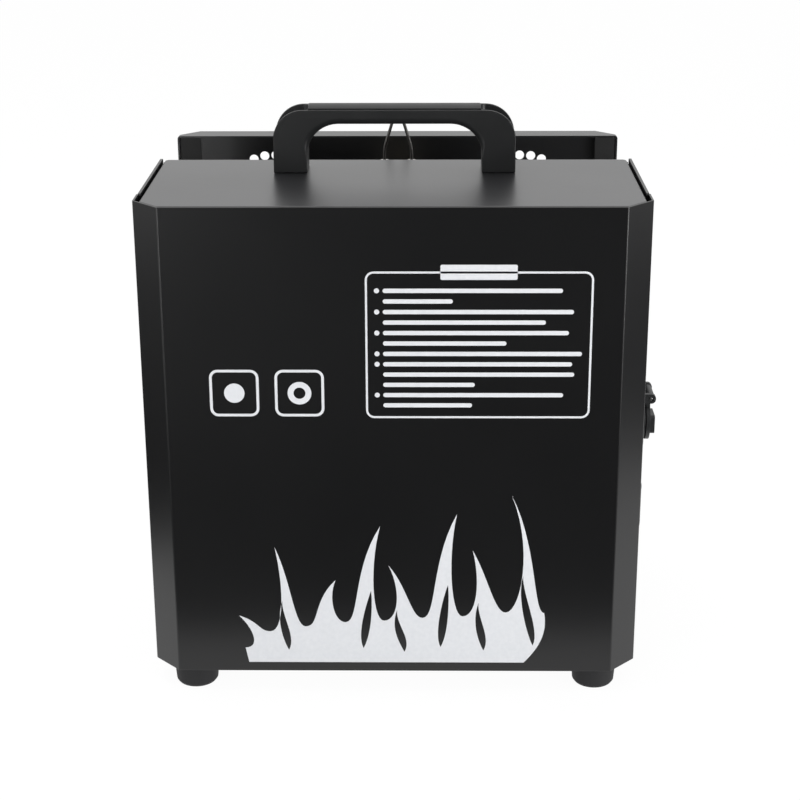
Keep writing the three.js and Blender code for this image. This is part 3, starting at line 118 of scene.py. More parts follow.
class Look:
    """The nodes of one finish, of the surround or of a lamp."""

    def __init__(self, name=None, tree=None):
        if tree is None:
            self.material = bpy.data.materials.new(name)
            self.material.use_nodes = True
            tree = self.material.node_tree
        self.tree = tree
        self.tree.nodes.clear()

    def node(self, kind, settings=None, sockets=None, out=0):
        made = self.tree.nodes.new(kind)
        for setting, value in (settings or {}).items():
            if setting == "stops":
                ramp = made.color_ramp.elements
                for stop, (position, colour) in enumerate(value):
                    element = ramp[stop] if stop < 2 else ramp.new(position)
                    element.position = position
                    element.color = colour
            else:
                setattr(made, setting, value)
        for socket, value in (sockets or {}).items():
            if isinstance(value, Wire):
                self.tree.links.new(value.socket, made.inputs[socket])
            else:
                made.inputs[socket].default_value = value
        return Wire(self, made.outputs[out])

    def noise(self, scale, detail, place=None):
        """Noise that lies still on its piece."""
        place = place or self.node("ShaderNodeTexCoord", out="Object")
        return self.node(
            "ShaderNodeTexNoise", sockets={"Vector": place, "Scale": scale, "Detail": detail},
        )

    def between(self, share, first, last):
        """The colour that lies a share of the way from the first to the last."""
        shades = {0: share, 6: (*first, 1), 7: (*last, 1)}
        return self.node("ShaderNodeMix", {"data_type": "RGBA"}, shades, out=2)

    def relief(self, strength, depth, height):
        """A bump of so much depth, where the height is one."""
        return self.node(
            "ShaderNodeBump", sockets={"Strength": strength, "Distance": depth, "Height": height}
        )

    def finish(self, shader, kind="ShaderNodeOutputMaterial"):
        self.tree.links.new(shader.socket, self.tree.nodes.new(kind).inputs["Surface"])

    def surface(self, **sockets):
        named = {name.replace("_", " "): value for name, value in sockets.items()}
        self.finish(self.node("ShaderNodeBsdfPrincipled", sockets=named))
        return self.material


def grey(level, alpha=1.0):
    return (level, level, level, alpha)


def seen_directly(look):
    """One for the camera, mirrors and clear pieces, and zero for the light that falls on the machine."""
    camera_ray, glossy_ray, clear_ray = [
        look.node("ShaderNodeLightPath", out=f"Is {kind} Ray")
        for kind in ("Camera", "Glossy", "Transmission")
    ]
    seen = camera_ray + glossy_ray + clear_ray
    return look.node("ShaderNodeMath", {"operation": "MINIMUM"}, {0: seen, 1: 1.0})


world = bpy.data.worlds.new("surround")
world.use_nodes = True
bpy.context.scene.world = world
surround = Look(tree=world.node_tree)
ambient = 0.55
surround_light = surround.node(
    "ShaderNodeBackground",
    sockets={"Color": grey(1.0), "Strength": ambient + (1 - ambient) * seen_directly(surround)},
)
surround.finish(surround_light, "ShaderNodeOutputWorld")


def flat_sheet(name, left, right, front, back, z=0.0):
    mesh = bpy.data.meshes.new(name)
    corners = [(left, front, z), (right, front, z), (right, back, z), (left, back, z)]
    mesh.from_pydata(corners, [], [(0, 1, 2, 3)])
    made = bpy.data.objects.new(name, mesh)
    bpy.context.scene.collection.objects.link(made)
    return made


floor = flat_sheet("floor", -3.0, 3.0, -3.0, 4.0)
floor_look = Look("floor_white")
floor_brightness, floor_evenness = 1.03, 0.93
floor_paint = floor_look.node("ShaderNodeBsdfDiffuse", sockets={"Color": grey(0.85)})
floor_glow = floor_look.node(
    "ShaderNodeEmission", sockets={"Color": grey(1.0), "Strength": floor_brightness},
)
floor_share = floor_evenness * seen_directly(floor_look)
floor_look.finish(
    floor_look.node("ShaderNodeMixShader", sockets={0: floor_share, 1: floor_paint, 2: floor_glow})
)
floor.data.materials.append(floor_look.material)

cloth_look = Look("dark_cloth").surface(Base_Color=grey(0.02), Roughness=1.0)
cloth_height, cloth_edge = 4 * mm, -0.19
hung_cloth = flat_sheet("cloth_behind_camera", -0.9, 2.6, 0.0, 2.4)
hung_cloth.rotation_euler = (math.pi / 2, 0, 0)
hung_cloth.location = (0, -2.6, 0)
cloths = [
    flat_sheet("cloth_on_floor", -0.62, 2.6, -2.8, cloth_edge, cloth_height),
    flat_sheet("cloth_left", -1.5, -0.34, cloth_edge, 1.2, cloth_height),
    flat_sheet("cloth_right", 0.5, 1.5, cloth_edge, 1.2, cloth_height),
    hung_cloth,
]
for cloth in cloths:
    cloth.data.materials.append(cloth_look)
    cloth.visible_camera = False
    cloth.visible_diffuse = False
    cloth.visible_shadow = False


def soft_lamp(name, place, target, width, height, watts):
    lamp = bpy.data.lights.new(name, "AREA")
    lamp.shape = "RECTANGLE"
    lamp.size = width
    lamp.size_y = height
    lamp.energy = watts
    holder = bpy.data.objects.new(name, lamp)
    holder.location = place
    holder.rotation_euler = (Vector(target) - Vector(place)).to_track_quat("-Z", "Y").to_euler()
    holder.visible_camera = False
    bpy.context.scene.collection.objects.link(holder)
    return holder


soft_lamp("lamp_above", (-0.3, 0.2, 1.7), (0, 0, 0.2), 1.6, 1.2, 14).visible_glossy = False
soft_lamp("lamp_left", (-0.76, -1.2, 0.28), (0, 0, 0.2), 0.35, 0.46, 4.5)
soft_lamp("lamp_right", (1.05, -0.78, 0.26), (0, 0, 0.2), 0.3, 0.46, 9)
soft_lamp("lamp_front", (0.2, -2.2, 1.0), (0, 0, 0.15), 1.6, 1.0, 1.5).visible_glossy = False

# Front cover: one sheet of 1.2 mm steel, folded four times into the face, two chamfers and two short returns.
# It is powder coated satin black with a fine orange peel, and screws hold its lip to the base pan from below.
sheet = 1.2 * mm
bend = 2 * mm
bend_steps = 6
print_rise = 0.05 * mm


def powder_coat(name, level, gloss=0.5):
    """Powder coat: orange peel on longer waves, clouded, with duller specks where the peel stands high."""
    look = Look(name)
    peel, waves, cloud = look.noise(1100.0, 2.0), look.noise(160.0, 1.0), look.noise(9.0, 2.0)
    speck = look.node(
        "ShaderNodeValToRGB", {"stops": [(0.66, grey(0.0)), (0.74, grey(1.0))]}, {"Fac": peel}
    )
    dark = (level * 0.85, level * 0.86, level * 0.95)
    light = (level * 1.15, level * 1.16, level * 1.26)
    return look.surface(
        Base_Color=look.between(cloud, dark, light), Roughness=0.3 + 0.06 * cloud + 0.05 * speck,
        Specular_IOR_Level=gloss, Normal=look.relief(0.35, 0.04 * mm, peel + 0.8 * waves),
    )


black_coat = powder_coat("black_powder_coat", 0.005)


def solid(name, points, faces, material):
    """A closed piece from points and faces, with its faces turned outward."""
    work = bmesh.new()
    corners = [work.verts.new(p) for p in points]
    for face in faces:
        work.faces.new([corners[i] for i in face])
    bmesh.ops.remove_doubles(work, verts=work.verts, dist=1e-6)
    bmesh.ops.recalc_face_normals(work, faces=work.faces)
    mesh = bpy.data.meshes.new(name)
    work.to_mesh(mesh)
    work.free()
    mesh.materials.append(material)
    made = bpy.data.objects.new(name, mesh)
    bpy.context.scene.collection.objects.link(made)
    return made


def eased(made, edge=0.25 * mm, segments=2, angle=30, clamped=True):
    """Shades a piece smooth, and rounds the edges that are sharper than the angle."""
    made.data.shade_smooth()
    made.data.set_sharp_from_angle(angle=math.radians(angle))
    if edge:
        rounding = made.modifiers.new("eased_edges", "BEVEL")
        rounding.width = edge
        rounding.segments = segments
        rounding.limit_method = "ANGLE"
        rounding.angle_limit = math.radians(angle)
        rounding.harden_normals = True
        rounding.use_clamp_overlap = clamped
    flattened = made.modifiers.new("flat_faces", "WEIGHTED_NORMAL")
    flattened.keep_sharp = True
    return made


def fit(piece, slot, *stands_for, body="machine"):
    """Gives a piece its body, and hides the solids that it stands for. The slot is not used."""
    if stands_for:
        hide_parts(*stands_for)
    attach(piece, body)
    return piece


def bent_line(corners, inward=0.0, radius=bend, closed=False):
    """Corners seen from above, anticlockwise, moved inward. Each bend keeps its own centre."""
    count = len(corners)
    points = []
    for i, (x, y) in enumerate(corners):
        here = Vector((x, y))
        before = here - Vector(corners[i - 1])
        after = Vector(corners[(i + 1) % count]) - here
        if not closed and i == 0:
            before = after
        if not closed and i == count - 1:
            after = before
        first = Vector((-before.y, before.x)).normalized()
        last = Vector((-after.y, after.x)).normalized()
        turn = math.atan2(first.cross(last), first.dot(last))
        if abs(turn) < 1e-6:
            points.append(here + first * inward)
            continue
        side = math.copysign(1, turn)
        centre = here + side * (first + last).normalized() * radius / math.cos(turn / 2)
        for k in range(bend_steps + 1):
            out = Matrix.Rotation(turn * k / bend_steps, 2) @ first
            points.append(centre - out * (side * radius - inward))
    return points


def circle(x, y, radius, sides=24):
    angles = [2 * math.pi * i / sides for i in range(sides)]
    return [Vector((x + radius * math.cos(a), y + radius * math.sin(a))) for a in angles]


def folded_sheet(name, corners, low, high, material, radius=bend, closed=False, topped=False, holes=None):
    """A sheet folded along upright bends, with a folded top edge if it is topped.

    holes maps a stretch between two corners to outlines on it, as distances along the stretch and heights.
    """
    rows = [(0.0, low, sheet, low)]
    if topped:
        for k in range(bend_steps + 1):
            angle = math.pi / 2 * k / bend_steps
            across, up = 1 - math.cos(angle), math.sin(angle)
            inner = radius - sheet
            rows.append((
                radius * across, high - radius + radius * up, sheet + inner * across,
                high - radius + inner * up,
            ))
    else:
        rows.append((0.0, high, sheet, high))
    points = []
    for outer, outer_z, inner, inner_z in rows:
        points += [(*p, outer_z) for p in bent_line(corners, outer, radius, closed)]
        points += [(*p, inner_z) for p in bent_line(corners, inner, radius, closed)]
    wide = len(points) // len(rows) // 2
    columns = range(wide if closed else wide - 1)
    last = len(rows) - 1

    def at(row, column, inside):
        return (2 * row + inside) * wide + column % wide

    stretch_starts = []
    column = bend_steps if closed else 0
    for i in range(len(corners) - (0 if closed else 1)):
        stretch_starts.append(column)
        column += bend_steps + 1 if closed or i + 2 < len(corners) else 1
    pierced = {stretch_starts[i]: outlines for i, outlines in (holes or {}).items()}
    faces = []
    for row in range(last):
        for c in columns:
            if row == 0 and c in pierced:
                continue
            faces.append((at(row, c, 0), at(row, c + 1, 0), at(row + 1, c + 1, 0), at(row + 1, c, 0)))
            faces.append((at(row, c, 1), at(row + 1, c, 1), at(row + 1, c + 1, 1), at(row, c + 1, 1)))
        if not closed:
            for c in (0, wide - 1):
                faces.append((at(row, c, 0), at(row + 1, c, 0), at(row + 1, c, 1), at(row, c, 1)))
    for c in columns:
        faces.append((at(0, c, 0), at(0, c, 1), at(0, c + 1, 1), at(0, c + 1, 0)))
        if not topped:
            faces.append((at(last, c, 0), at(last, c + 1, 0), at(last, c + 1, 1), at(last, c, 1)))
    if topped:
        faces.append([at(last, c, 0) for c in range(wide)])
        faces.append([at(last, c, 1) for c in range(wide)])
        if not closed:
            faces.append((at(last, 0, 0), at(last, 0, 1), at(last, wide - 1, 1), at(last, wide - 1, 0)))
    for c, outlines in pierced.items():
        start = Vector(points[at(0, c, 0)])
        along = (Vector(points[at(0, c + 1, 0)]) - start).normalized()
        inward = Vector((-along.y, along.x, 0)) * sheet
        fronts = [at(0, c, 0), at(0, c + 1, 0), at(1, c + 1, 0), at(1, c, 0)]
        backs = [at(0, c, 1), at(0, c + 1, 1), at(1, c + 1, 1), at(1, c, 1)]
        rings = [[Vector(points[i]) for i in fronts]]
        for outline in outlines:
            ring = [start + along * s + Vector((0, 0, z - start.z)) for s, z in outline]
            first = len(fronts)
            fronts += range(len(points), len(points) + len(ring))
            points += ring
            backs += range(len(points), len(points) + len(ring))
            points += [p + inward for p in ring]
            rings.append(ring)
            for i in range(len(ring)):
                a, b = first + i, first + (i + 1) % len(ring)
                faces.append((fronts[a], fronts[b], backs[b], backs[a]))
        for a, b, d in tessellate_polygon(rings):
            faces.append((fronts[a], fronts[b], fronts[d]))
            faces.append((backs[a], backs[b], backs[d]))
    return solid(name, points, faces, material)


def plate(name, shapes, low, high, material, place=Matrix.Identity(4)):
    """Flat shapes, each an outline and its holes, given a thickness and set in their place."""
    points = []
    faces = []
    for rings in shapes:
        flat = [Vector(p) for ring in rings for p in ring]
        first, count = len(points), len(flat)
        for level in (low, high):
            points += [place @ Vector((p.x, p.y, level)) for p in flat]
        for triangle in tessellate_polygon([[Vector((*p, 0)) for p in ring] for ring in rings]):
            faces.append([first + i for i in triangle])
            faces.append([first + count + i for i in triangle])
        start = first
        for ring in rings:
            for i in range(len(ring)):
                a, b = start + i, start + (i + 1) % len(ring)
                faces.append((a, b, b + count, a + count))
            start += len(ring)
    return solid(name, points, faces, material)


def facing(outward, origin=(0, 0, 0)):
    """Where a flat shape goes whose third axis points outward and whose second points up."""
    outward, up = Vector(outward), Vector((0, 0, 1))
    axes = Matrix((up.cross(outward), up, outward)).transposed().to_4x4()
    return Matrix.Translation(origin) @ axes


cover_face_y = cover_low.y + print_rise
chamfer_x, chamfer_y = 16.2 * mm, 17 * mm
cover_half = (cover_high.x - cover_low.x) / 2
cover_corners = [
    (middle_x - cover_half, cover_high.y),
    (middle_x - cover_half, cover_low.y + chamfer_y),
    (middle_x - cover_half + chamfer_x, cover_face_y),
    (middle_x + cover_half - chamfer_x, cover_face_y),
    (middle_x + cover_half, cover_low.y + chamfer_y),
    (middle_x + cover_half, cover_high.y),
]
front_cover = folded_sheet("front_cover_sheet", cover_corners, cover_low.z, cover_high.z, black_coat)
fit(eased(front_cover), "black_coat", "front_cover")
lip_half, front_lip, rear_lip = 100 * mm, 12 * mm, 10 * mm
front_lip_y = cover_low.y + sheet + front_lip / 2


def rounded(corners, steps=bend_steps):
    """An outline from corners (x, y) or (x, y, radius), each rounded to its radius."""
    points = []
    for i, (x, y, *radius) in enumerate(corners):
        here = Vector((x, y))
        if not radius:
            points.append(here)
            continue
        before = (Vector(corners[i - 1][:2]) - here).normalized()
        after = (Vector(corners[(i + 1) % len(corners)][:2]) - here).normalized()
        half_angle = before.angle(after) / 2
        centre = here + (before + after).normalized() * radius[0] / math.sin(half_angle)
        start = here + before * radius[0] / math.tan(half_angle) - centre
        end = here + after * radius[0] / math.tan(half_angle) - centre
        turn = math.atan2(start.cross(end), start.dot(end))
        for k in range(steps + 1):
            points.append(centre + Matrix.Rotation(turn * k / steps, 2) @ start)
    return points


def rectangle(x, y, wide, high, radius=0.0):
    left, right, low, top = x - wide / 2, x + wide / 2, y - high / 2, y + high / 2
    corners = [(left, low), (right, low), (right, top), (left, top)]
    return rounded([(*c, radius) for c in corners] if radius else corners)


front_lip_shape = rectangle(middle_x, front_lip_y, 2 * lip_half, front_lip)
front_cover_lip = plate(
    "front_cover_lip", [[front_lip_shape]], cover_low.z, cover_low.z + sheet, black_coat,
)
fit(eased(front_cover_lip), "black_coat")

# The white print on the front is screen printed: an even, faintly bluish white ink, thick enough to feel.
# It is a framed panel of plain bars, two plain squares, and a band of flames drawn from curves.
ink = Look("white_print")
mottle = ink.noise(420.0, 3.0)
white_print = ink.surface(
    Base_Color=ink.between(mottle, (0.60, 0.615, 0.64), (0.69, 0.70, 0.72)), Roughness=0.5 + 0.1 * mottle,
    Specular_IOR_Level=0.35, Normal=ink.relief(0.2, 0.03 * mm, mottle),
)
on_front = facing((0, -1, 0), (middle_x, cover_face_y, cover_low.z))


def printed(name, shapes):
    fit(plate(name, shapes, 0.0, print_rise, white_print, on_front), "black_coat")


def framed(x, y, wide, high, radius, line):
    inner = rectangle(x, y, wide - 2 * line, high - 2 * line, radius - line)
    return [rectangle(x, y, wide, high, radius), inner]


frame_x, frame_z, frame_wide, frame_high = 49.8 * mm, 212.25 * mm, 131.4 * mm, 89.5 * mm
panel_shapes = [framed(frame_x, frame_z, frame_wide, frame_high, 5 * mm, 1.2 * mm)]
bar_left, bar_top, bar_pitch, bar_height = -5.7 * mm, 245.5 * mm, 6.36 * mm, 2.6 * mm
bar_lengths = [103.6, 40.4, 110.3, 94.2, 107.7, 71.7, 115.6, 110.1, 111.5, 53.6, 105.4, 52.1]
dotted_bars = {0, 2, 4, 6, 7, 10}
for i, length in enumerate(bar_lengths):
    bar_z = bar_top - i * bar_pitch
    bar_middle = bar_left + length * mm / 2
    panel_shapes.append([rectangle(bar_middle, bar_z, length * mm, bar_height, 0.49 * bar_height)])
    if i in dotted_bars:
        panel_shapes.append([circle(bar_left - 3.5 * mm, bar_z, 1.5 * mm)])
printed("printed_bars", panel_shapes)
printed("printed_tab", [[rectangle(49.6 * mm, 256.5 * mm, 44.2 * mm, 9 * mm, 1 * mm)]])
square_side, square_z, disc_x, ring_x = 29 * mm, 183 * mm, -93.2 * mm, -54.9 * mm
square_shapes = [
    framed(x, square_z, square_side, square_side, 5 * mm, 1.6 * mm) for x in (disc_x, ring_x)
]
square_shapes.append([circle(disc_x, square_z, 6 * mm, 40)])
square_shapes.append([circle(ring_x, square_z, 7 * mm, 40), circle(ring_x, square_z, 3.5 * mm, 40)])
printed("printed_squares", square_shapes)


def curve(start, first, last, end, steps=14):
    """Points of a cubic curve from start up to, but without, its end."""
    points = []
    for k in range(steps):
        t = k / steps
        s = 1 - t
        points.append(s ** 3 * start + 3 * t * s ** 2 * first + 3 * t ** 2 * s * last + t ** 3 * end)
    return points


flame_left, flame_right, flame_base = -90 * mm, 92 * mm, 6 * mm
# Each tongue's place along the band as a share of its width, its height and how far it leans, in millimetres.
tongues = [
    (0.02, 38, -9), (0.13, 84, -6), (0.26, 62, 7), (0.40, 98, 9), (0.52, 72, -8),
    (0.66, 106, 8), (0.79, 82, -6), (0.95, 118, -12),
]
flame_width = flame_right - flame_left
flame_outline = [Vector((flame_left, flame_base))]
slits = []
valley = Vector((flame_left - 2 * mm, flame_base + 10 * mm))
for i, (share, height, lean) in enumerate(tongues):
    middle = flame_left + share * flame_width
    tip = Vector((middle + lean * mm, height * mm))
    following = tongues[i + 1] if i + 1 < len(tongues) else (1.02, 30, 0)
    next_x = flame_left + (share + following[0]) / 2 * flame_width
    next_valley = Vector((next_x, flame_base + (0.16 * height + 0.18 * following[1]) * mm))
    if i + 1 == len(tongues):
        next_valley = Vector((flame_right, flame_base + 34 * mm))
    rise = tip.y - valley.y
    fall = tip.y - next_valley.y
    flame_outline += curve(
        valley, valley + Vector((9 * mm, 0)),
        Vector((tip.x - 1.5 * lean * mm - 4 * mm, tip.y - 0.45 * rise)), tip,
    )
    flame_outline += curve(
        tip, Vector((tip.x - 1.1 * lean * mm + 3 * mm, tip.y - 0.42 * fall)),
        next_valley - Vector((7 * mm, 0)), next_valley,
    )
    if height > 70:
        low = Vector((middle - 0.2 * lean * mm, flame_base + 0.1 * height * mm))
        high = Vector((middle + 0.35 * lean * mm, flame_base + 0.5 * height * mm))
        side = math.copysign(1, lean)
        slits.append(
            curve(low, low + Vector((5 * mm, 9 * mm)), high + Vector((side * 1 * mm, -10 * mm)), high)
            + curve(high, high + Vector((-4 * mm, -12 * mm)), low + Vector((-4 * mm, 8 * mm)), low)
        )
    valley = next_valley
flame_outline += curve(
    valley, valley + Vector((2 * mm, -12 * mm)), Vector((flame_right - 1 * mm, flame_base + 12 * mm)),
    Vector((flame_right - 12 * mm, flame_base)),
)
flame_outline.append(Vector((flame_right - 12 * mm, flame_base)))
printed("printed_flames", [[flame_outline, *slits]])

# Side panels: flat 1.6 mm steel, stepped down behind the front box, screwed to the trays inside. They butt
# against the front cover's returns. The right one is pierced for the fittings.
panel_coat = powder_coat("side_panel_coat", 0.006)
side_low, side_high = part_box("right_side_panel")
well_low, well_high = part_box("well_tray")
panel_step_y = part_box("top_plate")[1].y
panel_step_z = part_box("burner_bracket")[0].z - 0.3 * mm
panel_corner = 1.5 * mm
panel_outline = rounded([
    (side_low.y, side_low.z), (side_high.y, side_low.z), (side_high.y, panel_step_z, panel_corner),
    (panel_step_y, panel_step_z, panel_corner), (panel_step_y, side_high.z, panel_corner),
    (side_low.y, side_high.z, panel_corner),
])


def middle_of(node):
    low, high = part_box(node)
    return (low + high) / 2


flange_play, barrel_sides = 0.4 * mm, 40
socket_radius, holder_radius = 11.8 * mm, 6 * mm
control_wide, control_high = 72 * mm, 44 * mm
switch_wide, switch_high = 12.6 * mm, 20.6 * mm
inlet_z = middle_of("power_switch_body").z
control_middle = middle_of("control_plate")
panel_holes = [
    circle(middle_of("power_inlet").y, inlet_z, socket_radius + flange_play, barrel_sides),
    circle(*middle_of("dmx_in_socket").yz, socket_radius + flange_play, barrel_sides),
    circle(*middle_of("dmx_out_socket").yz, socket_radius + flange_play, barrel_sides),
    circle(middle_of("fuse_holder").y, inlet_z, holder_radius + flange_play, 32),
    rectangle(
        middle_of("power_switch_body").y, inlet_z, switch_wide + 2 * flange_play,
        switch_high + 2 * flange_play,
    ),
    rectangle(control_middle.y, control_middle.z, control_wide, control_high),
]
to_the_right = facing((1, 0, 0))
for name, holes in (("left_side_panel", []), ("right_side_panel", panel_holes)):
    low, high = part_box(name)
    side_sheet = plate(
        name + "_sheet", [[panel_outline, *holes]], low.x, high.x, panel_coat, to_the_right,
    )
    fit(eased(side_sheet, 0.3 * mm), "black_coat", name)

# Top plate: a shallow folded pan that stands inside the front cover's rim, under the carry handle. Its front
# edge is set back, so that the seam behind the rim shows. Its powder coat is smoother than the covers', and
# its colour is about three times lighter than theirs: painted light from above on the upturned plate.
# The raised colour level of this copy of the black coat is painted light from above.
deck_coat_painted_light = powder_coat("top_plate_coat_painted_light", 0.016, 0.9)
deck_low, deck_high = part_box("top_plate")
deck_cut, deck_setback, deck_share = 2 * mm, 2.6 * mm, 0.72
deck_chamfer_x, deck_chamfer_y = deck_share * chamfer_x, deck_share * chamfer_y
deck_front = deck_low.y + deck_setback
deck_corners = [
    (deck_low.x + deck_chamfer_x, deck_front), (deck_high.x - deck_chamfer_x, deck_front),
    (deck_high.x, deck_front + deck_chamfer_y), (deck_high.x, deck_high.y - deck_cut),
    (deck_high.x - deck_cut, deck_high.y), (deck_low.x + deck_cut, deck_high.y),
    (deck_low.x, deck_high.y - deck_cut), (deck_low.x, deck_front + deck_chamfer_y),
]
top_plate = folded_sheet(
    "top_plate_pan", deck_corners, deck_low.z, deck_high.z, deck_coat_painted_light, radius=1.6 * mm, closed=True,
    topped=True,
)
fit(eased(top_plate), "black_coat", "top_plate")

# Carry handle: one moulding of black polypropylene, a bridge rounded over along its arch at both faces. Its
# grip is crowned between two lips, and its legs are open on their outer side, where two screws hold it down.
handle_foot = (*middle_of("carry_handle").xy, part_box("carry_handle")[0].z)
handle_half, handle_leg, handle_deep = 74 * mm, 20.4 * mm, 12 * mm
handle_top, handle_underside = 38.3 * mm, 29.5 * mm
outer_radius, arch_radius = 18 * mm, 19.5 * mm
lip_width, leg_web, leg_floor, grip_half = 2.4 * mm, 4.5 * mm, 7 * mm, 52.7 * mm
grip_recess, grip_slope, grip_crown, grip_corner = 5 * mm, 8 * mm, 2.2 * mm, 4 * mm
arch_ease, ease_fade = 4 * mm, 0.45


def moulded(name, colour, roughness=0.45, grain=2200.0, depth=0.05 * mm, gloss=0.4, mottle=0.12):
    """Moulded plastic or rubber: an even colour with a fine grain and slight clouds from the mould."""
    look = Look(name)
    place = look.node("ShaderNodeTexCoord", out="Object")
    leather = look.node(
        "ShaderNodeTexVoronoi", {"feature": "SMOOTH_F1"}, {"Vector": place, "Scale": grain},
    )
    cloud = look.noise(60.0, 3.0, place)
    dark, light = [c * (1 - mottle) for c in colour], [c * (1 + mottle) for c in colour]
    return look.surface(
        Base_Color=look.between(cloud, dark, light), Roughness=roughness + 0.12 * cloud,
        Specular_IOR_Level=gloss, Normal=look.relief(0.4, depth, leather + 0.4 * cloud),
    )


handle_black = moulded("handle_black", (0.010, 0.0105, 0.011), 0.38, 1500.0, 0.04 * mm, 0.45)


def loft(name, outlines, depths, material, place):
    """A closed piece through outlines with as many points each, each at its own depth."""
    count = len(outlines[0])
    points = [place @ Vector((p.x, p.y, depth)) for ring, depth in zip(outlines, depths) for p in ring]
    faces = []
    for start in range(0, len(points) - count, count):
        for i in range(count):
            j = (i + 1) % count
            faces.append((start + i, start + j, start + j + count, start + i + count))
    for start, ring in ((0, outlines[0]), (len(points) - count, outlines[-1])):
        for triangle in tessellate_polygon([[Vector((*p, 0)) for p in ring]]):
            faces.append([start + i for i in triangle])
    return solid(name, points, faces, material)


def carved(made, operation, *tools):
    """Cuts tools out of a piece, joins them to it or keeps what they share, and takes them away."""
    for tool in tools:
        step = made.modifiers.new("carve", "BOOLEAN")
        step.operation = operation
        step.object = tool
        step.solver = "EXACT"
    bpy.context.view_layer.update()
    shaped = made.evaluated_get(bpy.context.evaluated_depsgraph_get())
    made.data = bpy.data.meshes.new_from_object(shaped)
    made.modifiers.clear()
    for tool in tools:
        bpy.data.objects.remove(tool)
    return made


def bridge(ease):
    """The bridge seen from the front: the ease draws back its arch and underside, but not its legs."""
    inner = handle_half - handle_leg
    arch = []
    for k in range(17):
        angle = math.pi / 2 * k / 16
        radius = arch_radius + ease * min(1, angle / ease_fade)
        arch.append((
            inner - arch_radius + radius * math.cos(angle),
            handle_underside - arch_radius + radius * math.sin(angle),
        ))
    mirrored_arch = [(-x, z) for x, z in arch]
    return rounded([
        (-handle_half, 0), (-inner, 0), *mirrored_arch, *reversed(arch), (inner, 0), (handle_half, 0),
        (handle_half, handle_top, outer_radius), (-handle_half, handle_top, outer_radius),
    ], 20)


facing_front = facing((0, -1, 0), handle_foot)
facing_right = facing((1, 0, 0), handle_foot)
facing_up = Matrix.Translation(handle_foot)
ease_angles = [math.pi / 2 * k / 6 for k in range(7)]
outlines = [bridge(arch_ease * (1 - math.sin(a))) for a in ease_angles]
depths = [arch_ease * (1 - math.cos(a)) - handle_deep for a in ease_angles]
carry_handle = loft(
    "carry_handle_moulding", outlines + outlines[::-1], depths + [-d for d in depths[::-1]], handle_black,
    facing_front,
)
crown_half = handle_deep - lip_width
crown = [(-crown_half, handle_top - grip_recess), (crown_half, handle_top - grip_recess)]
for k in range(17):
    share = 1 - k / 8
    crown.append((crown_half * share, handle_top + grip_crown * (1 - share * share)))
grip = plate("grip_crown", [[crown]], -grip_half, grip_half, handle_black, facing_right)
carved(carry_handle, "UNION", grip)
over = 3 * mm
for side in (-1, 1):
    web_x = handle_half - handle_leg + leg_web
    pocket_profile = [
        (web_x, leg_floor, 1.5 * mm), (handle_half + over, leg_floor),
        (handle_half + over, handle_top + over), (grip_half, handle_top + over),
        (grip_half, handle_top - grip_recess, 1.5 * mm),
        (web_x, handle_top - grip_recess - grip_slope, 2 * mm),
    ]
    pocket_plan = [
        (grip_half, -crown_half, grip_corner), (handle_half + over, -crown_half),
        (handle_half + over, crown_half), (grip_half, crown_half, grip_corner),
    ]
    if side < 0:
        pocket_profile = [(-x, *rest) for x, *rest in reversed(pocket_profile)]
        pocket_plan = [(-x, *rest) for x, *rest in reversed(pocket_plan)]
    pocket = plate(
        "pocket", [[rounded(pocket_profile)]], -crown_half, crown_half, handle_black, facing_front,
    )
    plan = plate("pocket_plan", [[rounded(pocket_plan)]], 0.0, handle_top + over, handle_black, facing_up)
    carved(carry_handle, "DIFFERENCE", carved(pocket, "INTERSECT", plan))
groove_width, groove_depth = 1.1 * mm, 0.7 * mm
grooves = []
for side in (-1, 1):
    groove = rectangle(
        side * (crown_half - groove_width / 2), handle_top + over / 2 - groove_depth, groove_width, over,
    )
    grooves.append(plate("groove", [[groove]], -grip_half, grip_half, handle_black, facing_right))
carved(carry_handle, "DIFFERENCE", *grooves)
fit(eased(carry_handle, 0.45 * mm, 3, clamped=False), "black_plastic", "carry_handle")

# Handle screws: zinc plated steel with pan heads and cross recesses. They are driven down through the floors
# of the handle's legs into the top plate.
def metal(name, colour, roughness, grain=(900.0, 900.0, 900.0)):
    """Bare or plated metal: fine marks from its making, drawn out by the grain, and an uneven tarnish."""
    look = Look(name)
    place = look.node("ShaderNodeTexCoord", out="Object")
    drawn = look.node("ShaderNodeMapping", sockets={"Vector": place, "Scale": grain})
    marks, tarnish = look.noise(1.0, 3.0, drawn), look.noise(70.0, 3.0, place)
    return look.surface(
        Base_Color=look.between(tarnish, [0.7 * c for c in colour], colour), Metallic=1.0,
        Roughness=roughness - 0.1 + 0.14 * marks + 0.1 * tarnish,
        Normal=look.relief(0.35, 0.02 * mm, marks),
    )


zinc_plate = metal("zinc_plate", (0.62, 0.63, 0.62), 0.34)


def turned(name, profile, material, place=Matrix.Identity(4), sides=40):
    """Turns a profile of corners, (radius, height) or (radius, height, rounding), about its own axis."""
    outline = rounded(profile, 4)
    count = len(outline)
    points = []
    faces = []
    for k in range(sides):
        spin = place @ Matrix.Rotation(2 * math.pi * k / sides, 4, "Z")
        points += [spin @ Vector((p.x, 0, p.y)) for p in outline]
        near, far = k * count, (k + 1) % sides * count
        for i in range(count):
            j = (i + 1) % count
            faces.append((near + i, far + i, far + j, near + j))
    return solid(name, points, faces, material)


screw_shapes = {}


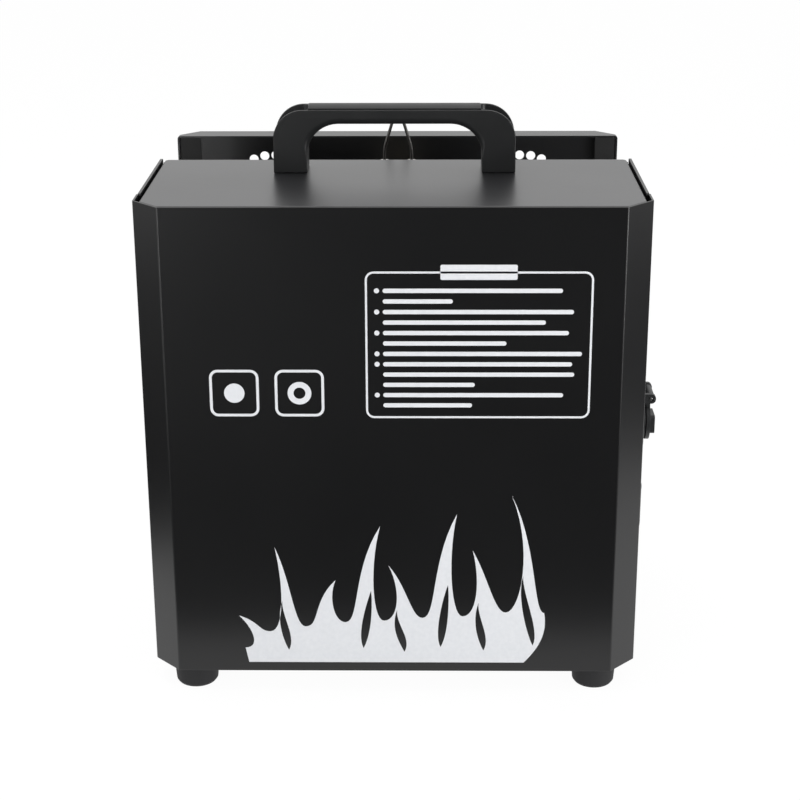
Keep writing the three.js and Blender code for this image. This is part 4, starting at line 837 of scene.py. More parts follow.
def screw(name, place, radius, height, material=zinc_plate, shank=0.0, reach=0.0):
    """A pan head screw with a cross recess. The place's third axis points out of the head, from under it."""
    size = (radius, height, shank, reach)
    if size not in screw_shapes:
        below = [(0, -reach), (shank, -reach), (shank, 0)] if reach else [(0, 0)]
        head = [
            (radius, 0), (radius, 0.5 * height, 0.2 * height), (0.55 * radius, height, 0.3 * height),
            (0, height),
        ]
        made = turned(name, below + head, material, sides=28)
        slots = []
        for wide, high in ((1.15 * radius, 0.24 * radius), (0.24 * radius, 1.15 * radius)):
            slots.append(
                plate("slot", [[rectangle(0, 0, wide, high)]], 0.3 * height, 2 * height, material)
            )
        screw_shapes[size] = carved(made, "DIFFERENCE", *slots).data
        bpy.data.objects.remove(made)
    mesh = screw_shapes[size].copy()
    mesh.transform(place)
    mesh.materials.clear()
    mesh.materials.append(material)
    made = bpy.data.objects.new(name, mesh)
    bpy.context.scene.collection.objects.link(made)
    return eased(made, 0)


def shift(x, y, z=0.0):
    return Matrix.Translation((x, y, z))


screw_x = handle_half - (handle_leg - leg_web) / 2
head_radius, head_height, shank_radius, shank_below = 4.4 * mm, 4 * mm, 2.5 * mm, 15.3 * mm
for name, x in (("left_handle_screw", -screw_x), ("right_handle_screw", screw_x)):
    seat_place = facing_up @ shift(x, 0, leg_floor + 0.3 * mm)
    fit(
        screw(
            name + "_turned", seat_place, head_radius, head_height, shank=shank_radius, reach=shank_below,
        ),
        "zinc_steel", name,
    )

# Rear cover: one folded sheet with a closed top, chamfered like the front. It closes the gas can's bay.
# Rings of round vents are punched on both sides of its upper part, and the can's door has its opening below.
rear_low, rear_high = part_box("rear_cover")
rear_cut = 13 * mm
rear_corners = [
    (rear_high.x, rear_low.y), (rear_high.x, rear_high.y - rear_cut),
    (rear_high.x - rear_cut, rear_high.y), (rear_low.x + rear_cut, rear_high.y),
    (rear_low.x, rear_high.y - rear_cut), (rear_low.x, rear_low.y),
]
rear_face_right = rear_high.x - rear_cut - bend * math.tan(math.pi / 8)
vent_radius, vent_x, vent_below, ring_step, vent_pitch, vent_turn = (
    3.15 * mm, 85.8 * mm, 48.8 * mm, 8 * mm, 7.7 * mm, 0.065
)
vent_z = rear_high.z - vent_below
openings = []
for side in (-1, 1):
    openings.append(circle(rear_face_right - middle_x - side * vent_x, vent_z, vent_radius))
    for ring in range(1, 5):
        count = math.floor(2 * math.pi * ring * ring_step / vent_pitch)
        for i in range(count):
            angle = vent_turn - 2 * math.pi * i / count
            hole_x = middle_x + side * (vent_x - ring * ring_step * math.sin(angle))
            hole_z = vent_z + ring * ring_step * math.cos(angle)
            openings.append(circle(rear_face_right - hole_x, hole_z, vent_radius))
door_low, door_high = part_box("can_door")
door_middle_z = (door_low.z + door_high.z) / 2
door_half, door_corner, door_gap = 51 * mm, 3 * mm, 1 * mm
openings.append(rectangle(
    rear_face_right - middle_x, door_middle_z, 2 * (door_half + door_gap),
    door_high.z - door_low.z + 2 * door_gap, door_corner,
))
rear_coat = powder_coat("rear_cover_coat", 0.008, 1.0)
rear_cover = folded_sheet(
    "rear_cover_sheet", rear_corners, rear_low.z, rear_high.z, rear_coat, topped=True, holes={2: openings}
)
fit(eased(rear_cover, 0.2 * mm), "black_coat", "rear_cover")
rear_lip_y = rear_high.y - sheet - rear_lip / 2
rear_lip_shape = rectangle(middle_x, rear_lip_y, 2 * lip_half, rear_lip)
rear_cover_lip = plate("rear_cover_lip", [[rear_lip_shape]], rear_low.z, rear_low.z + sheet, rear_coat)
fit(eased(rear_cover_lip), "black_coat")

# Base pan: a black tray whose edges stand up inside the covers. Slots under the can's bay let gas drain out.
# Small black screws come up through both covers' lips, and the side panels' lowest screws go into its edges.
pan_low, pan_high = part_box("base_pan")
pan_front_x, pan_front_y, pan_rear = 13.9 * mm, 14.6 * mm, 12.1 * mm
pan_corners = [
    (pan_low.x + pan_front_x, pan_low.y), (pan_high.x - pan_front_x, pan_low.y),
    (pan_high.x, pan_low.y + pan_front_y), (pan_high.x, pan_high.y - pan_rear),
    (pan_high.x - pan_rear, pan_high.y), (pan_low.x + pan_rear, pan_high.y),
    (pan_low.x, pan_high.y - pan_rear), (pan_low.x, pan_low.y + pan_front_y),
]
channel_y = middle_of("nozzle").y
slot_x, slot_long, slot_wide, slot_pitch = 49.5 * mm, 17 * mm, 4 * mm, 12 * mm
pan_holes = []
for side in (-1, 1):
    for i in range(5):
        y = channel_y + (i - 2) * slot_pitch
        pan_holes.append(rectangle(middle_x + side * slot_x, y, slot_long, slot_wide, 0.45 * slot_wide))
feet = ("front_left_foot", "front_right_foot", "rear_left_foot", "rear_right_foot")
pan_holes += [circle(*middle_of(foot).xy, 2.6 * mm) for foot in feet]
floor_shape = [bent_line(pan_corners, closed=True), *pan_holes]
base_pan = plate("base_pan_floor", [floor_shape], pan_low.z, pan_low.z + sheet, black_coat)
fit(eased(base_pan), "black_coat", "base_pan")
pan_rim = folded_sheet(
    "base_pan_rim", pan_corners, pan_low.z + 0.4 * sheet, pan_high.z, black_coat, closed=True,
)
fit(eased(pan_rim), "black_coat")
black_screw = metal("blackened_steel", (0.03, 0.03, 0.032), 0.4)
facing_down = Matrix.Rotation(math.pi, 4, "X")
lip_screw_step = 85 * mm
for name, y in (("front", front_lip_y), ("rear", rear_lip_y)):
    for i in (-1, 0, 1):
        place = shift(middle_x + i * lip_screw_step, y, cover_low.z) @ facing_down
        fit(screw(f"{name}_lip_screw_{i + 2}", place, 3 * mm, 1.6 * mm, black_screw), "black_coat")
low_row, high_row = pan_high.z - 5 * mm, panel_step_z - 4.5 * mm
for name, side in (("left", -1), ("right", 1)):
    outer_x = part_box(f"{name}_side_panel")[1 if side > 0 else 0].x
    places = [(-62 * mm, low_row), (88 * mm, low_row), (52 * mm, high_row), (88 * mm, high_row)]
    for i, (y, z) in enumerate(places):
        place = facing((side, 0, 0), (outer_x, y, z))
        fit(screw(f"{name}_panel_screw_{i + 1}", place, 3 * mm, 0.6 * mm, black_screw), "black_coat")

# Rubber feet: moulded a little wider at the top. A zinc plated screw and washer, deep in the recess of each
# sole, hold it up against the base pan.
foot_rubber = moulded("foot_rubber", (0.015, 0.015, 0.016), 0.6, 1300.0, 0.08 * mm, 0.3, 0.2)


def sized(*corners):
    """Corners that are given in millimetres."""
    return [tuple(value * mm for value in corner) for corner in corners]


washer_z = 4.9 * mm
for foot in feet:
    low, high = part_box(foot)
    place = shift(*middle_of(foot).xy, low.z)
    tall = (high.z - low.z) / mm
    profile = sized(
        (5.5, 0, 0.5), (11.6, 0, 1.2), (13, 2, 0.8), (13.9, tall - 2.6), (13.5, tall - 2.2),
        (13.5, tall - 1.8), (14.2, tall - 1.4, 0.2), (14.2, tall, 0.3), (2.6, tall), (2.6, 6), (5.5, 6),
    )
    fit(eased(turned(foot + "_rubber", profile, foot_rubber, place, 56), 0), "rubber", foot)
    washer_place = place @ shift(0, 0, washer_z)
    washer = turned(
        foot + "_washer", sized((2.6, 0), (5.2, 0), (5.2, 1), (2.6, 1)), zinc_plate, washer_place,
    )
    fit(eased(washer, 0.1 * mm), "zinc_steel")
    fit(screw(foot + "_screw", washer_place @ facing_down, 4 * mm, 2.4 * mm), "zinc_steel")

# Well tray, bulkhead and bay walls: the channel's floor and front wall in one black sheet, and galvanised
# sheets that part the can's bay from the electronics. All are folded and held by their flanges.
def strip(name, line, low, high, material, place, thickness=sheet, radius=bend):
    """A folded strip seen end on: its face line, with the sheet's thickness to the left of it."""
    outline = bent_line(line, 0.0, radius) + bent_line(line, thickness, radius)[::-1]
    return plate(name, [[outline]], low, high, material, place)


def drilled(made, places, radius, low, high, frame=Matrix.Identity(4)):
    """Cuts round holes through a piece, at places on its flat side."""
    drills = [plate("drill", [[circle(x, y, radius)]], low, high, zinc_plate, frame) for x, y in places]
    return carved(made, "DIFFERENCE", *drills)


well_floor = [
    (well_low.y, well_high.z), (well_low.y, well_low.z + 10 * mm), (well_high.y, well_low.z + 10 * mm),
]
well_tray = strip("well_tray_sheet", well_floor, well_low.x, well_high.x, black_coat, to_the_right)
channel_x = middle_of("nozzle").x
electrode_x, lead_bore, cut_top = 8.9 * mm, 2.7 * mm, well_low.z + 20 * mm
electrode_spots = [(channel_x + side * electrode_x, channel_y) for side in (-1, 1)]
cuts = []
for side in (-1, 1):
    edge = middle_x + side * (well_high.x - well_low.x) / 2
    outside, inside = edge + side * 2 * mm, edge - side * pan_rear
    behind = well_high.y + 2 * mm
    corner = [
        (outside, well_high.y - pan_rear - 2 * mm), (outside, behind), (inside - side * 2 * mm, behind),
    ]
    cuts.append(plate("corner", [[corner]], well_low.z, cut_top, black_coat))
carved(well_tray, "DIFFERENCE", *cuts)
drilled(well_tray, [(channel_x, channel_y)], 3.8 * mm, well_low.z, cut_top)
drilled(well_tray, electrode_spots, lead_bore, well_low.z, cut_top)
fit(eased(well_tray), "black_coat", "well_tray")
tab_shape = rectangle(middle_x, well_low.z + 16.3 * mm, 80 * mm, 10.2 * mm, 2 * mm)
mirrored = Matrix.Diagonal((-1, 1, 1, 1))
tab_place = facing((0, 1, 0), (0, well_high.y, 0)) @ mirrored
tab = plate("well_tray_tab", [[tab_shape]], -sheet, 0, black_coat, tab_place)
fit(eased(tab), "black_coat")
well_deep, flange_high = well_high.y - well_low.y, 10.4 * mm
flange_shape = rectangle(
    middle_of("well_tray").y, well_low.z + flange_high / 2, well_deep - 30 * mm, flange_high,
)
for name, x in (("left", well_low.x), ("right", well_high.x - sheet)):
    ends = plate(f"well_tray_{name}_flange", [[flange_shape]], x, x + sheet, black_coat, to_the_right)
    fit(eased(ends), "black_coat")
galvanised = Look("galvanised_sheet")
zinc_place = galvanised.node("ShaderNodeTexCoord", out="Object")
spangle = galvanised.node(
    "ShaderNodeTexVoronoi", sockets={"Vector": zinc_place, "Scale": 130.0}, out="Color",
)
flake = galvanised.node("ShaderNodeSeparateColor", sockets={"Color": spangle})
haze = galvanised.noise(30.0, 4.0, zinc_place)
zinc_shade = galvanised.between(0.6 * flake + 0.4 * haze, (0.40, 0.41, 0.42), (0.62, 0.63, 0.64))
zinc_sheet = galvanised.surface(
    Base_Color=zinc_shade, Metallic=1.0, Roughness=0.36 + 0.16 * flake + 0.1 * haze,
    Normal=galvanised.relief(0.2, 0.03 * mm, haze),
)
wall_low, wall_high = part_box("bulkhead")
bulkhead_line = [(wall_low.y, wall_low.z), (wall_high.y, wall_low.z), (wall_high.y, wall_high.z)]
bulkhead = strip("bulkhead_sheet", bulkhead_line, wall_low.x, wall_high.x, zinc_sheet, to_the_right)
lead_z = wall_high.z - 5.7 * mm
facing_back = facing((0, -1, 0))
through = (-wall_high.y - 5 * mm, -wall_high.y + 20 * mm)
lead_spots = [(x, lead_z) for x, y in electrode_spots]
drilled(bulkhead, lead_spots, lead_bore, *through, facing_back)
drilled(bulkhead, [(middle_x - 100 * mm, wall_low.z + 60 * mm)], 8 * mm, *through, facing_back)
fit(eased(bulkhead), "zinc_steel", "bulkhead")
for name, side in (("left_bay_wall", -1), ("right_bay_wall", 1)):
    low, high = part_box(name)
    if side > 0:
        line = [(low.x, high.y), (low.x, low.y), (high.x, low.y)]
    else:
        line = [(low.x, low.y), (high.x, low.y), (high.x, high.y)]
    bay_wall = strip(name + "_sheet", line, low.z, high.z, zinc_sheet, Matrix.Identity(4))
    fit(eased(bay_wall), "zinc_steel", name)

# Gas can seat: a moulded cup that the can's foot drops into, and a spring clip of bare steel strip that grips
# its side. The clip's pad is screwed to the bulkhead.
seat_black = moulded("cup_black", (0.022, 0.022, 0.023), 0.5, 1800.0, 0.05 * mm, 0.4)
cup_low, cup_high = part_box("can_cup")
can_axis = shift(*middle_of("can_cup").xy)
cup_radius = (cup_high.x - cup_low.x) / 2 / mm
cup_inner, cup_rim, cup_floor, drain = cup_radius - 2, 12, 2.5, 5
cup_profile = sized(
    (drain, 0), (cup_radius, 0, 0.5), (cup_radius, cup_rim, 0.8), (cup_inner, cup_rim, 0.8),
    (cup_inner, cup_floor, 1.2), (24, cup_floor), (23.4, 2.1), (22.8, cup_floor), (drain, cup_floor),
)
can_cup = turned("can_cup_moulding", cup_profile, seat_black, can_axis @ shift(0, 0, cup_low.z), 72)
fit(eased(can_cup, 0.1 * mm), "black_plastic", "can_cup")
bright_steel = metal("bright_steel", (0.60, 0.60, 0.59), 0.26, (60.0, 60.0, 1400.0))
clip_low, clip_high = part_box("can_clip")
clip_inner, clip_sheet, clip_angle = 33.6 * mm, 1.2 * mm, 2.0
clip_line = []
for k in range(-1, 50):
    if k in (-1, 49):
        radius, angle = clip_inner + 6.2 * mm, (clip_angle + 0.14) * (-1 if k < 0 else 1)
    else:
        radius, angle = clip_inner + clip_sheet, clip_angle * (k - 24) / 24
    angle -= math.pi / 2
    clip_line.append(Vector((radius * math.cos(angle), radius * math.sin(angle))))
clip_outline = bent_line(clip_line, 0.0, 0.3 * mm) + bent_line(clip_line, clip_sheet, 0.3 * mm)[::-1]
can_clip = plate("can_clip_strip", [[clip_outline]], clip_low.z, clip_high.z, bright_steel, can_axis)
fit(eased(can_clip, 0.15 * mm), "bare_steel", "can_clip")
pad_front, pad_back = wall_high.y + 0.3 * mm - channel_y, -clip_inner - 0.6 * mm
pad_shape = rectangle(0, (pad_front + pad_back) / 2, 24 * mm, pad_back - pad_front)
pad = plate("clip_pad", [[pad_shape]], clip_low.z, clip_high.z, bright_steel, can_axis)
fit(eased(pad, 0.4 * mm), "bare_steel")

# Valve: a brass solenoid valve hangs in a zinc plated bracket under the channel's floor. Its moulded coil is
# held on the armature tube by a nut, and the brass adaptor below takes the can's own valve in a rubber ring.
brass = metal("turned_brass", (0.66, 0.47, 0.20), 0.26, (200.0, 200.0, 2600.0))
bracket_low, bracket_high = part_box("valve_bracket")
valve_frame = facing((0, -1, 0), (channel_x, channel_y, bracket_high.z))
valve_half, valve_flange, valve_drop = 24 * mm, 10 * mm, 33.7 * mm
valve_line = [
    (-valve_half - valve_flange, -sheet), (-valve_half, -sheet), (-valve_half, -valve_drop),
    (valve_half, -valve_drop), (valve_half, -sheet), (valve_half + valve_flange, -sheet),
]
valve_bracket = strip("valve_bracket_strip", valve_line, -11 * mm, 11 * mm, zinc_plate, valve_frame)
drilled(valve_bracket, [(channel_x, channel_y)], 7.6 * mm, bracket_low.z - 2 * mm, bracket_low.z + 4 * mm)
fit(eased(valve_bracket, 0.2 * mm), "zinc_steel", "valve_bracket")


def on_channel(z):
    """Where a piece stands on the upright axis that the valve, the nozzle and the can share."""
    return shift(channel_x, channel_y, z)


valve_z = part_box("valve_body")[0].z
block_half, block_high = 12 * mm, 17 * mm
block_shape = [
    rectangle(channel_x, channel_y, 2 * block_half, 2 * block_half, 1.5 * mm),
    circle(channel_x, channel_y, 2 * mm),
]
valve_block = plate("valve_block", [block_shape], valve_z, valve_z + block_high, brass)
fit(eased(valve_block, 0.5 * mm, 3), "brass", "valve_body")
boss = turned(
    "valve_boss", sized((3.3, 0), (7.2, 0), (7.2, 0.8, 0.3), (6, 0.8), (6, 5, 0.6), (3.3, 5)), brass,
    on_channel(valve_z + block_high),
)
fit(eased(boss, 0.1 * mm), "brass")
tube_frame = facing((0, -1, 0), (channel_x, channel_y - block_half, valve_z + 11.5 * mm))
tube = turned(
    "armature_tube", sized((0, -1), (5, -1), (5, 21), (4.4, 21), (4.4, 24.6, 0.8), (0, 24.6)),
    bright_steel, tube_frame,
)
fit(eased(tube, 0), "brass")
nut_shape = [circle(0, 0, 8 * mm, 6), circle(0, 0, 4.5 * mm)]
coil_nut = plate("coil_nut", [nut_shape], 20.6 * mm, 24.2 * mm, zinc_plate, tube_frame)
fit(eased(coil_nut, 0.5 * mm), "brass")
coil_black = moulded("coil_black", (0.05, 0.052, 0.058), 0.42, 900.0, 0.06 * mm, 0.45)
coil_shape = [rectangle(0, 0, 26 * mm, 22 * mm, 4 * mm), circle(0, 0, 5.3 * mm, 32)]
coil = plate("coil_moulding", [coil_shape], 0.3 * mm, 20.3 * mm, coil_black, tube_frame)
ring_shape = [rectangle(0, 0, 30 * mm, 26 * mm), rectangle(0, 0, 25 * mm, 21 * mm, 3.5 * mm)]
for z in (5 * mm, 15 * mm):
    groove = plate("groove", [ring_shape], z, z + 0.8 * mm, coil_black, tube_frame)
    carved(coil, "DIFFERENCE", groove)
fit(eased(coil, 0.4 * mm), "grey_plastic", "valve_coil")
terminal_shape = rectangle(15.3 * mm, 0, 5.2 * mm, 10 * mm, 1 * mm)
terminal = plate("coil_terminal", [[terminal_shape]], 6.3 * mm, 16.3 * mm, coil_black, tube_frame)
fit(eased(terminal, 0.4 * mm), "grey_plastic")
for i, y in enumerate((-2.5 * mm, 2.5 * mm)):
    prong_shape = rectangle(17.6 * mm, y, 0.4 * mm, 0.8 * mm)
    prong = plate(f"coil_prong_{i + 1}", [[prong_shape]], 9 * mm, 13.6 * mm, bright_steel, tube_frame)
    fit(eased(prong, 0), "bare_steel")
adaptor_low, adaptor_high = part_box("can_adaptor")
tall = (adaptor_high.z - adaptor_low.z) / mm
adaptor = turned(
    "adaptor_turning",
    sized(
        (11, 0), (14, 0), (15, 1), (15, 4), (14.4, 4.4), (14.4, 6), (15, 6.4), (15, 16, 0.6), (7, 16),
        (7, tall), (2, tall), (2, 10), (11, 10),
    ),
    brass, on_channel(adaptor_low.z), 56,
)
fit(eased(adaptor, 0.15 * mm), "brass", "can_adaptor")
seal_rubber = moulded("seal_rubber", (0.02, 0.02, 0.02), 0.55, 2200.0, 0.03 * mm, 0.4)
seal_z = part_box("adaptor_seal")[0].z
seal = turned(
    "seal_ring", sized((4, 0, 0.7), (10.7, 0, 0.5), (10.7, 3, 0.5), (4, 3, 0.7)), seal_rubber,
    on_channel(seal_z), 48,
)
fit(eased(seal, 0), "rubber", "adaptor_seal")

# Burner: a drawn copper tube feeds a turned brass nozzle that stands in a folded bracket across the channel.
# The bracket is heat tinted steel, and two screws hold each of its feet to the channel's floor.
copper = metal("drawn_copper", (0.60, 0.27, 0.15), 0.24, (1200.0, 1200.0, 60.0))
tube_low, tube_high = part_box("fuel_tube")
tall = (tube_high.z - tube_low.z) / mm
tube_profile = sized((2.2, 0), (3, 0, 0.2), (3, tall, 0.2), (2.2, tall))
fuel_tube = turned("fuel_tube_drawn", tube_profile, copper, on_channel(tube_low.z), 28)
fit(eased(fuel_tube, 0), "copper", "fuel_tube")
nozzle_frame = on_channel(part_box("nozzle")[0].z - 9 * mm)
nozzle = turned(
    "nozzle_turning",
    sized(
        (0, 17), (3.3, 17), (3.3, 9), (4.6, 9, 0.3), (4.6, 12), (3.8, 12), (3.8, 26), (3.5, 26.3),
        (3.5, 27), (3.8, 27.3), (3.8, 43, 0.4), (2.3, 48, 0.2), (0.8, 48), (0.8, 38), (0, 38),
    ),
    brass, nozzle_frame, 36,
)
fit(eased(nozzle, 0), "brass", "nozzle")
hexagon_shape = [circle(0, 0, 5 * mm, 6), circle(0, 0, 3.7 * mm)]
hexagon = plate("nozzle_hexagon", [hexagon_shape], 12 * mm, 22.4 * mm, brass, nozzle_frame)
fit(eased(hexagon, 0.35 * mm), "brass")
tinted_steel = metal("tinted_steel", (0.44, 0.40, 0.36), 0.34, (80.0, 1400.0, 1400.0))
burner_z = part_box("burner_bracket")[0].z
burner_frame = facing((0, -1, 0), (channel_x, channel_y, burner_z))
burner_half, burner_flange, burner_deck = 22 * mm, 10 * mm, 22.5 * mm
burner_line = [
    (-burner_half - burner_flange, 0), (-burner_half, 0), (-burner_half, burner_deck),
    (burner_half, burner_deck), (burner_half, 0), (burner_half + burner_flange, 0),
]
burner_bracket = strip("burner_bracket_strip", burner_line, -11 * mm, 11 * mm, tinted_steel, burner_frame)
drill_depth = (burner_z + 18 * mm, burner_z + 30 * mm)
drilled(burner_bracket, [(channel_x, channel_y)], 4.3 * mm, *drill_depth)
drilled(burner_bracket, electrode_spots, 3.7 * mm, *drill_depth)
fit(eased(burner_bracket, 0.2 * mm), "bare_steel", "burner_bracket")
for hand, x in (("left", -27.5 * mm), ("right", 27.5 * mm)):
    for end, y in (("front", -6.5 * mm), ("rear", 6.5 * mm)):
        place = shift(channel_x + x, channel_y + y, burner_z + sheet)
        fit(screw(f"burner_screw_{hand}_{end}", place, 2.8 * mm, 1.8 * mm), "bare_steel")

# Ignition: glazed white ceramic insulators with a collar, thin steel electrodes that lean in over the nozzle,
# and red silicone leads that run down and forward to the igniter.
glaze = Look("glazed_ceramic")
glaze_cloud = glaze.noise(90.0, 3.0)
fleck = glaze.node(
    "ShaderNodeValToRGB", {"stops": [(0.70, grey(0.0)), (0.76, grey(1.0))]},
    {"Fac": glaze.noise(900.0, 1.0)},
)
glaze_shade = glaze.between(0.8 * glaze_cloud + 0.4 * fleck, (0.84, 0.83, 0.79), (0.66, 0.64, 0.58))
ceramic = glaze.surface(
    Base_Color=glaze_shade, Roughness=0.16 + 0.14 * glaze_cloud, Coat_Weight=0.5, Coat_Roughness=0.08,
    Normal=glaze.relief(0.2, 0.03 * mm, glaze_cloud),
)


def rod(name, path, radius, material, across, reach=0.0, sides=16):
    """A round bar along a flat path, across which one direction points. Its inner corners are bent."""
    stations = [path[0], path[0] + (path[1] - path[0]).normalized() * 0.2 * radius]
    for before, here, after in zip(path, path[1:], path[2:]):
        start = here + (before - here).normalized() * reach
        end = here + (after - here).normalized() * reach
        for t in [k / 8 for k in range(9)]:
            stations.append((1 - t) ** 2 * start + 2 * t * (1 - t) * here + t ** 2 * end)
    stations += [path[-1] - (path[-1] - path[-2]).normalized() * 0.2 * radius, path[-1]]
    points = []
    last = len(stations) - 1
    for i, here in enumerate(stations):
        along = (stations[min(i + 1, last)] - stations[max(i - 1, 0)]).normalized()
        beside = along.cross(across)
        size = radius * (0.8 if i in (0, last) else 1)
        for k in range(sides):
            angle = 2 * math.pi * k / sides
            points.append(here + size * (math.cos(angle) * beside + math.sin(angle) * across))
    faces = [list(range(sides)), list(range(last * sides, (last + 1) * sides))]
    for i in range(last):
        for k in range(sides):
            a, b = i * sides + k, i * sides + (k + 1) % sides
            faces.append((a, b, b + sides, a + sides))
    return solid(name, points, faces, material)


spark_steel = metal("spark_steel", (0.13, 0.125, 0.12), 0.42, (1500.0, 1500.0, 120.0))
red_silicone = moulded("red_silicone", (0.34, 0.022, 0.018), 0.5, 1400.0, 0.04 * mm, 0.35, 0.2)
for name, side in (("left", -1), ("right", 1)):
    low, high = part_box(name + "_insulator")
    x = (low.x + high.x) / 2
    tall, collar = (high.z - low.z) / mm, 14.3
    insulator = turned(
        name + "_insulator_body",
        sized(
            (1.3, 0), (3.4, 0, 0.4), (3.4, collar), (5, collar, 0.4), (5, collar + 4, 0.9),
            (3.4, collar + 4, 0.3), (3.4, tall, 0.8), (1.3, tall, 0.2),
        ),
        ceramic, shift(x, channel_y, low.z),
    )
    fit(eased(insulator, 0), "ceramic", name + "_insulator")
    path = [
        Vector((x, channel_y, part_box(name + "_electrode")[0].z)),
        Vector((x, channel_y, high.z + 7.7 * mm)),
        Vector((x - side * 6.8 * mm, channel_y, high.z + 30.2 * mm)),
    ]
    electrode = rod(name + "_electrode_rod", path, 1 * mm, spark_steel, Vector((0, 1, 0)), 4 * mm)
    fit(eased(electrode, 0), "bare_steel", name + "_electrode")
    lead_low, lead_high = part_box(name + "_ignition_lead")
    lead_y = lead_low.y + 2 * mm
    path = [
        Vector((x, channel_y, lead_high.z)), Vector((x, channel_y, lead_z)), Vector((x, lead_y, lead_z)),
        Vector((x, lead_y, lead_low.z)),
    ]
    ignition_lead = rod(name + "_lead_silicone", path, 2 * mm, red_silicone, Vector((1, 0, 0)), 6 * mm)
    fit(eased(ignition_lead, 0), "red_silicone", name + "_ignition_lead")

# Igniter, power supply and tilt switch: a potted block on the bulkhead with two high-voltage bosses, a closed
# steel case with a row of screw terminals, and a sealed can on a small base. Screws hold them down.
def dress(node, material):
    """Gives a solid that is shown as it is the finish of the real piece."""
    for held in nodes[node].material_slots:
        held.material = material


potting_black = moulded("potting_black", (0.05, 0.052, 0.056), 0.4, 700.0, 0.06 * mm, 0.5)
low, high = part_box("igniter_module")
igniter_middle, igniter_top = (low + high) / 2, high.z - 5 * mm
igniter_shape = rectangle(channel_x, igniter_middle.y, 46 * mm, high.y - low.y, 2 * mm)
igniter = plate("igniter_block", [[igniter_shape]], low.z, igniter_top, potting_black)
fit(eased(igniter, 0.8 * mm, 3), "grey_plastic", "igniter_module")
ear_frame = facing((0, -1, 0), (channel_x, high.y, low.z))
ears_shape = rectangle(0, 17 * mm, 60 * mm, 20 * mm, 3 * mm)
ears = plate("igniter_ears", [[ears_shape]], 0, 4 * mm, potting_black, ear_frame)
fit(eased(ears, 0.5 * mm), "grey_plastic")
for i, x in enumerate((-26.5 * mm, 26.5 * mm)):
    place = ear_frame @ shift(x, 17 * mm, 4 * mm)
    fit(screw(f"igniter_screw_{i + 1}", place, 2.8 * mm, 1.8 * mm), "zinc_steel")
    boss = turned(
        f"igniter_boss_{i + 1}",
        sized((0, -1), (4, -1), (4, 1.4), (3.4, 1.8), (4, 2.2), (4, 5, 0.6), (0, 5)), potting_black,
        shift(channel_x + (2 * i - 1) * electrode_x, lead_y, igniter_top),
    )
    fit(eased(boss, 0), "grey_plastic")
dress("power_supply", zinc_sheet)
low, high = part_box("power_supply")
terminal_edge, terminal_pitch = 7.33 * mm, 12.67 * mm
for i in range(6):
    place = shift(high.x - 7 * mm, low.y + terminal_edge + i * terminal_pitch, low.z + 16 * mm)
    fit(screw(f"terminal_screw_{i + 1}", place, 3.2 * mm, 2.2 * mm, brass), "zinc_steel")
low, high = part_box("tilt_switch")
tilt_place = shift(*middle_of("tilt_switch").xy, low.z)
base_shape = rectangle(*middle_of("tilt_switch").xy, high.x - low.x, high.y - low.y, 2 * mm)
base = plate("tilt_switch_base", [[base_shape]], low.z, low.z + 2 * mm, potting_black)
fit(eased(base, 0.3 * mm), "grey_plastic", "tilt_switch")
tall = (high.z - low.z) / mm
can_profile = sized((0, 1.5), (5, 1.5), (5, 3), (4.6, 3.2), (4.6, tall, 0.8), (0, tall))
sealed_can = turned("tilt_switch_can", can_profile, bright_steel, tilt_place)
fit(eased(sealed_can, 0), "grey_plastic")

# Control plate: a moulded black plate with a window of smoked acrylic and four grey keys. The circuit board
# stands on posts behind it, with a key switch under each key and the display module behind the window.
panel_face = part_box("right_side_panel")[1].x
plate_black = moulded("plate_black", (0.02, 0.021, 0.023), 0.45, 1600.0, 0.06 * mm, 0.45)
control_frame = facing((1, 0, 0), (panel_face, control_middle.y, control_middle.z))
key_radius, key_z, face = 3.9 * mm, -13 * mm, 2.3 * mm
key_places = [(i - 1.5) * 16 * mm for i in range(4)]
window_hole = rectangle(0, 9 * mm, 44 * mm, 18 * mm, 0.3 * mm)
key_holes = [circle(x, key_z, key_radius + 0.3 * mm, 36) for x in key_places]
plate_shape = [rectangle(0, 0, 80 * mm, 52 * mm, 4 * mm), window_hole, *key_holes]
control_plate = plate("control_plate_moulding", [plate_shape], 0.3 * mm, face, plate_black, control_frame)
fit(eased(control_plate, 0.5 * mm, 3), "black_plastic", "control_plate")
for i, (x, y) in enumerate([(-1, -1), (1, -1), (1, 1), (-1, 1)]):
    post = turned(
        f"control_post_{i + 1}", sized((0, -7.7), (2.5, -7.7, 0.3), (2.5, 0.6), (0, 0.6)), plate_black,
        control_frame @ shift(x * 32.5 * mm, y * 18.5 * mm), 24,
    )
    fit(eased(post, 0), "black_plastic")
    place = control_frame @ shift(x * 37.2 * mm, y * 23.2 * mm, face)
    fit(screw(f"control_screw_{i + 1}", place, 1.7 * mm, 1 * mm, black_screw), "black_plastic")
trim_shape = [
    rectangle(0, 9 * mm, 48 * mm, 22 * mm, 2 * mm), rectangle(0, 9 * mm, 45.2 * mm, 19.2 * mm, 0.8 * mm),
]
trim = plate("window_trim", [trim_shape], face - 0.2 * mm, face + 0.4 * mm, plate_black, control_frame)
fit(eased(trim, 0.2 * mm), "black_plastic")
smoke = Look("smoked_acrylic")
smear = smoke.noise(120.0, 4.0)
smoke_shade = smoke.between(smear, (0.020, 0.004, 0.004), (0.035, 0.007, 0.007))
smoked_acrylic = smoke.surface(
    Base_Color=smoke_shade, Roughness=0.04 + 0.08 * smear, Alpha=0.72, Coat_Weight=1.0,
)
pane_shape = rectangle(0, 9 * mm, 43.4 * mm, 17.4 * mm, 0.3 * mm)
window = plate("display_window_pane", [[pane_shape]], 0.3 * mm, 1.9 * mm, smoked_acrylic, control_frame)
fit(eased(window, 0.15 * mm), "smoked_glass", "display_window")
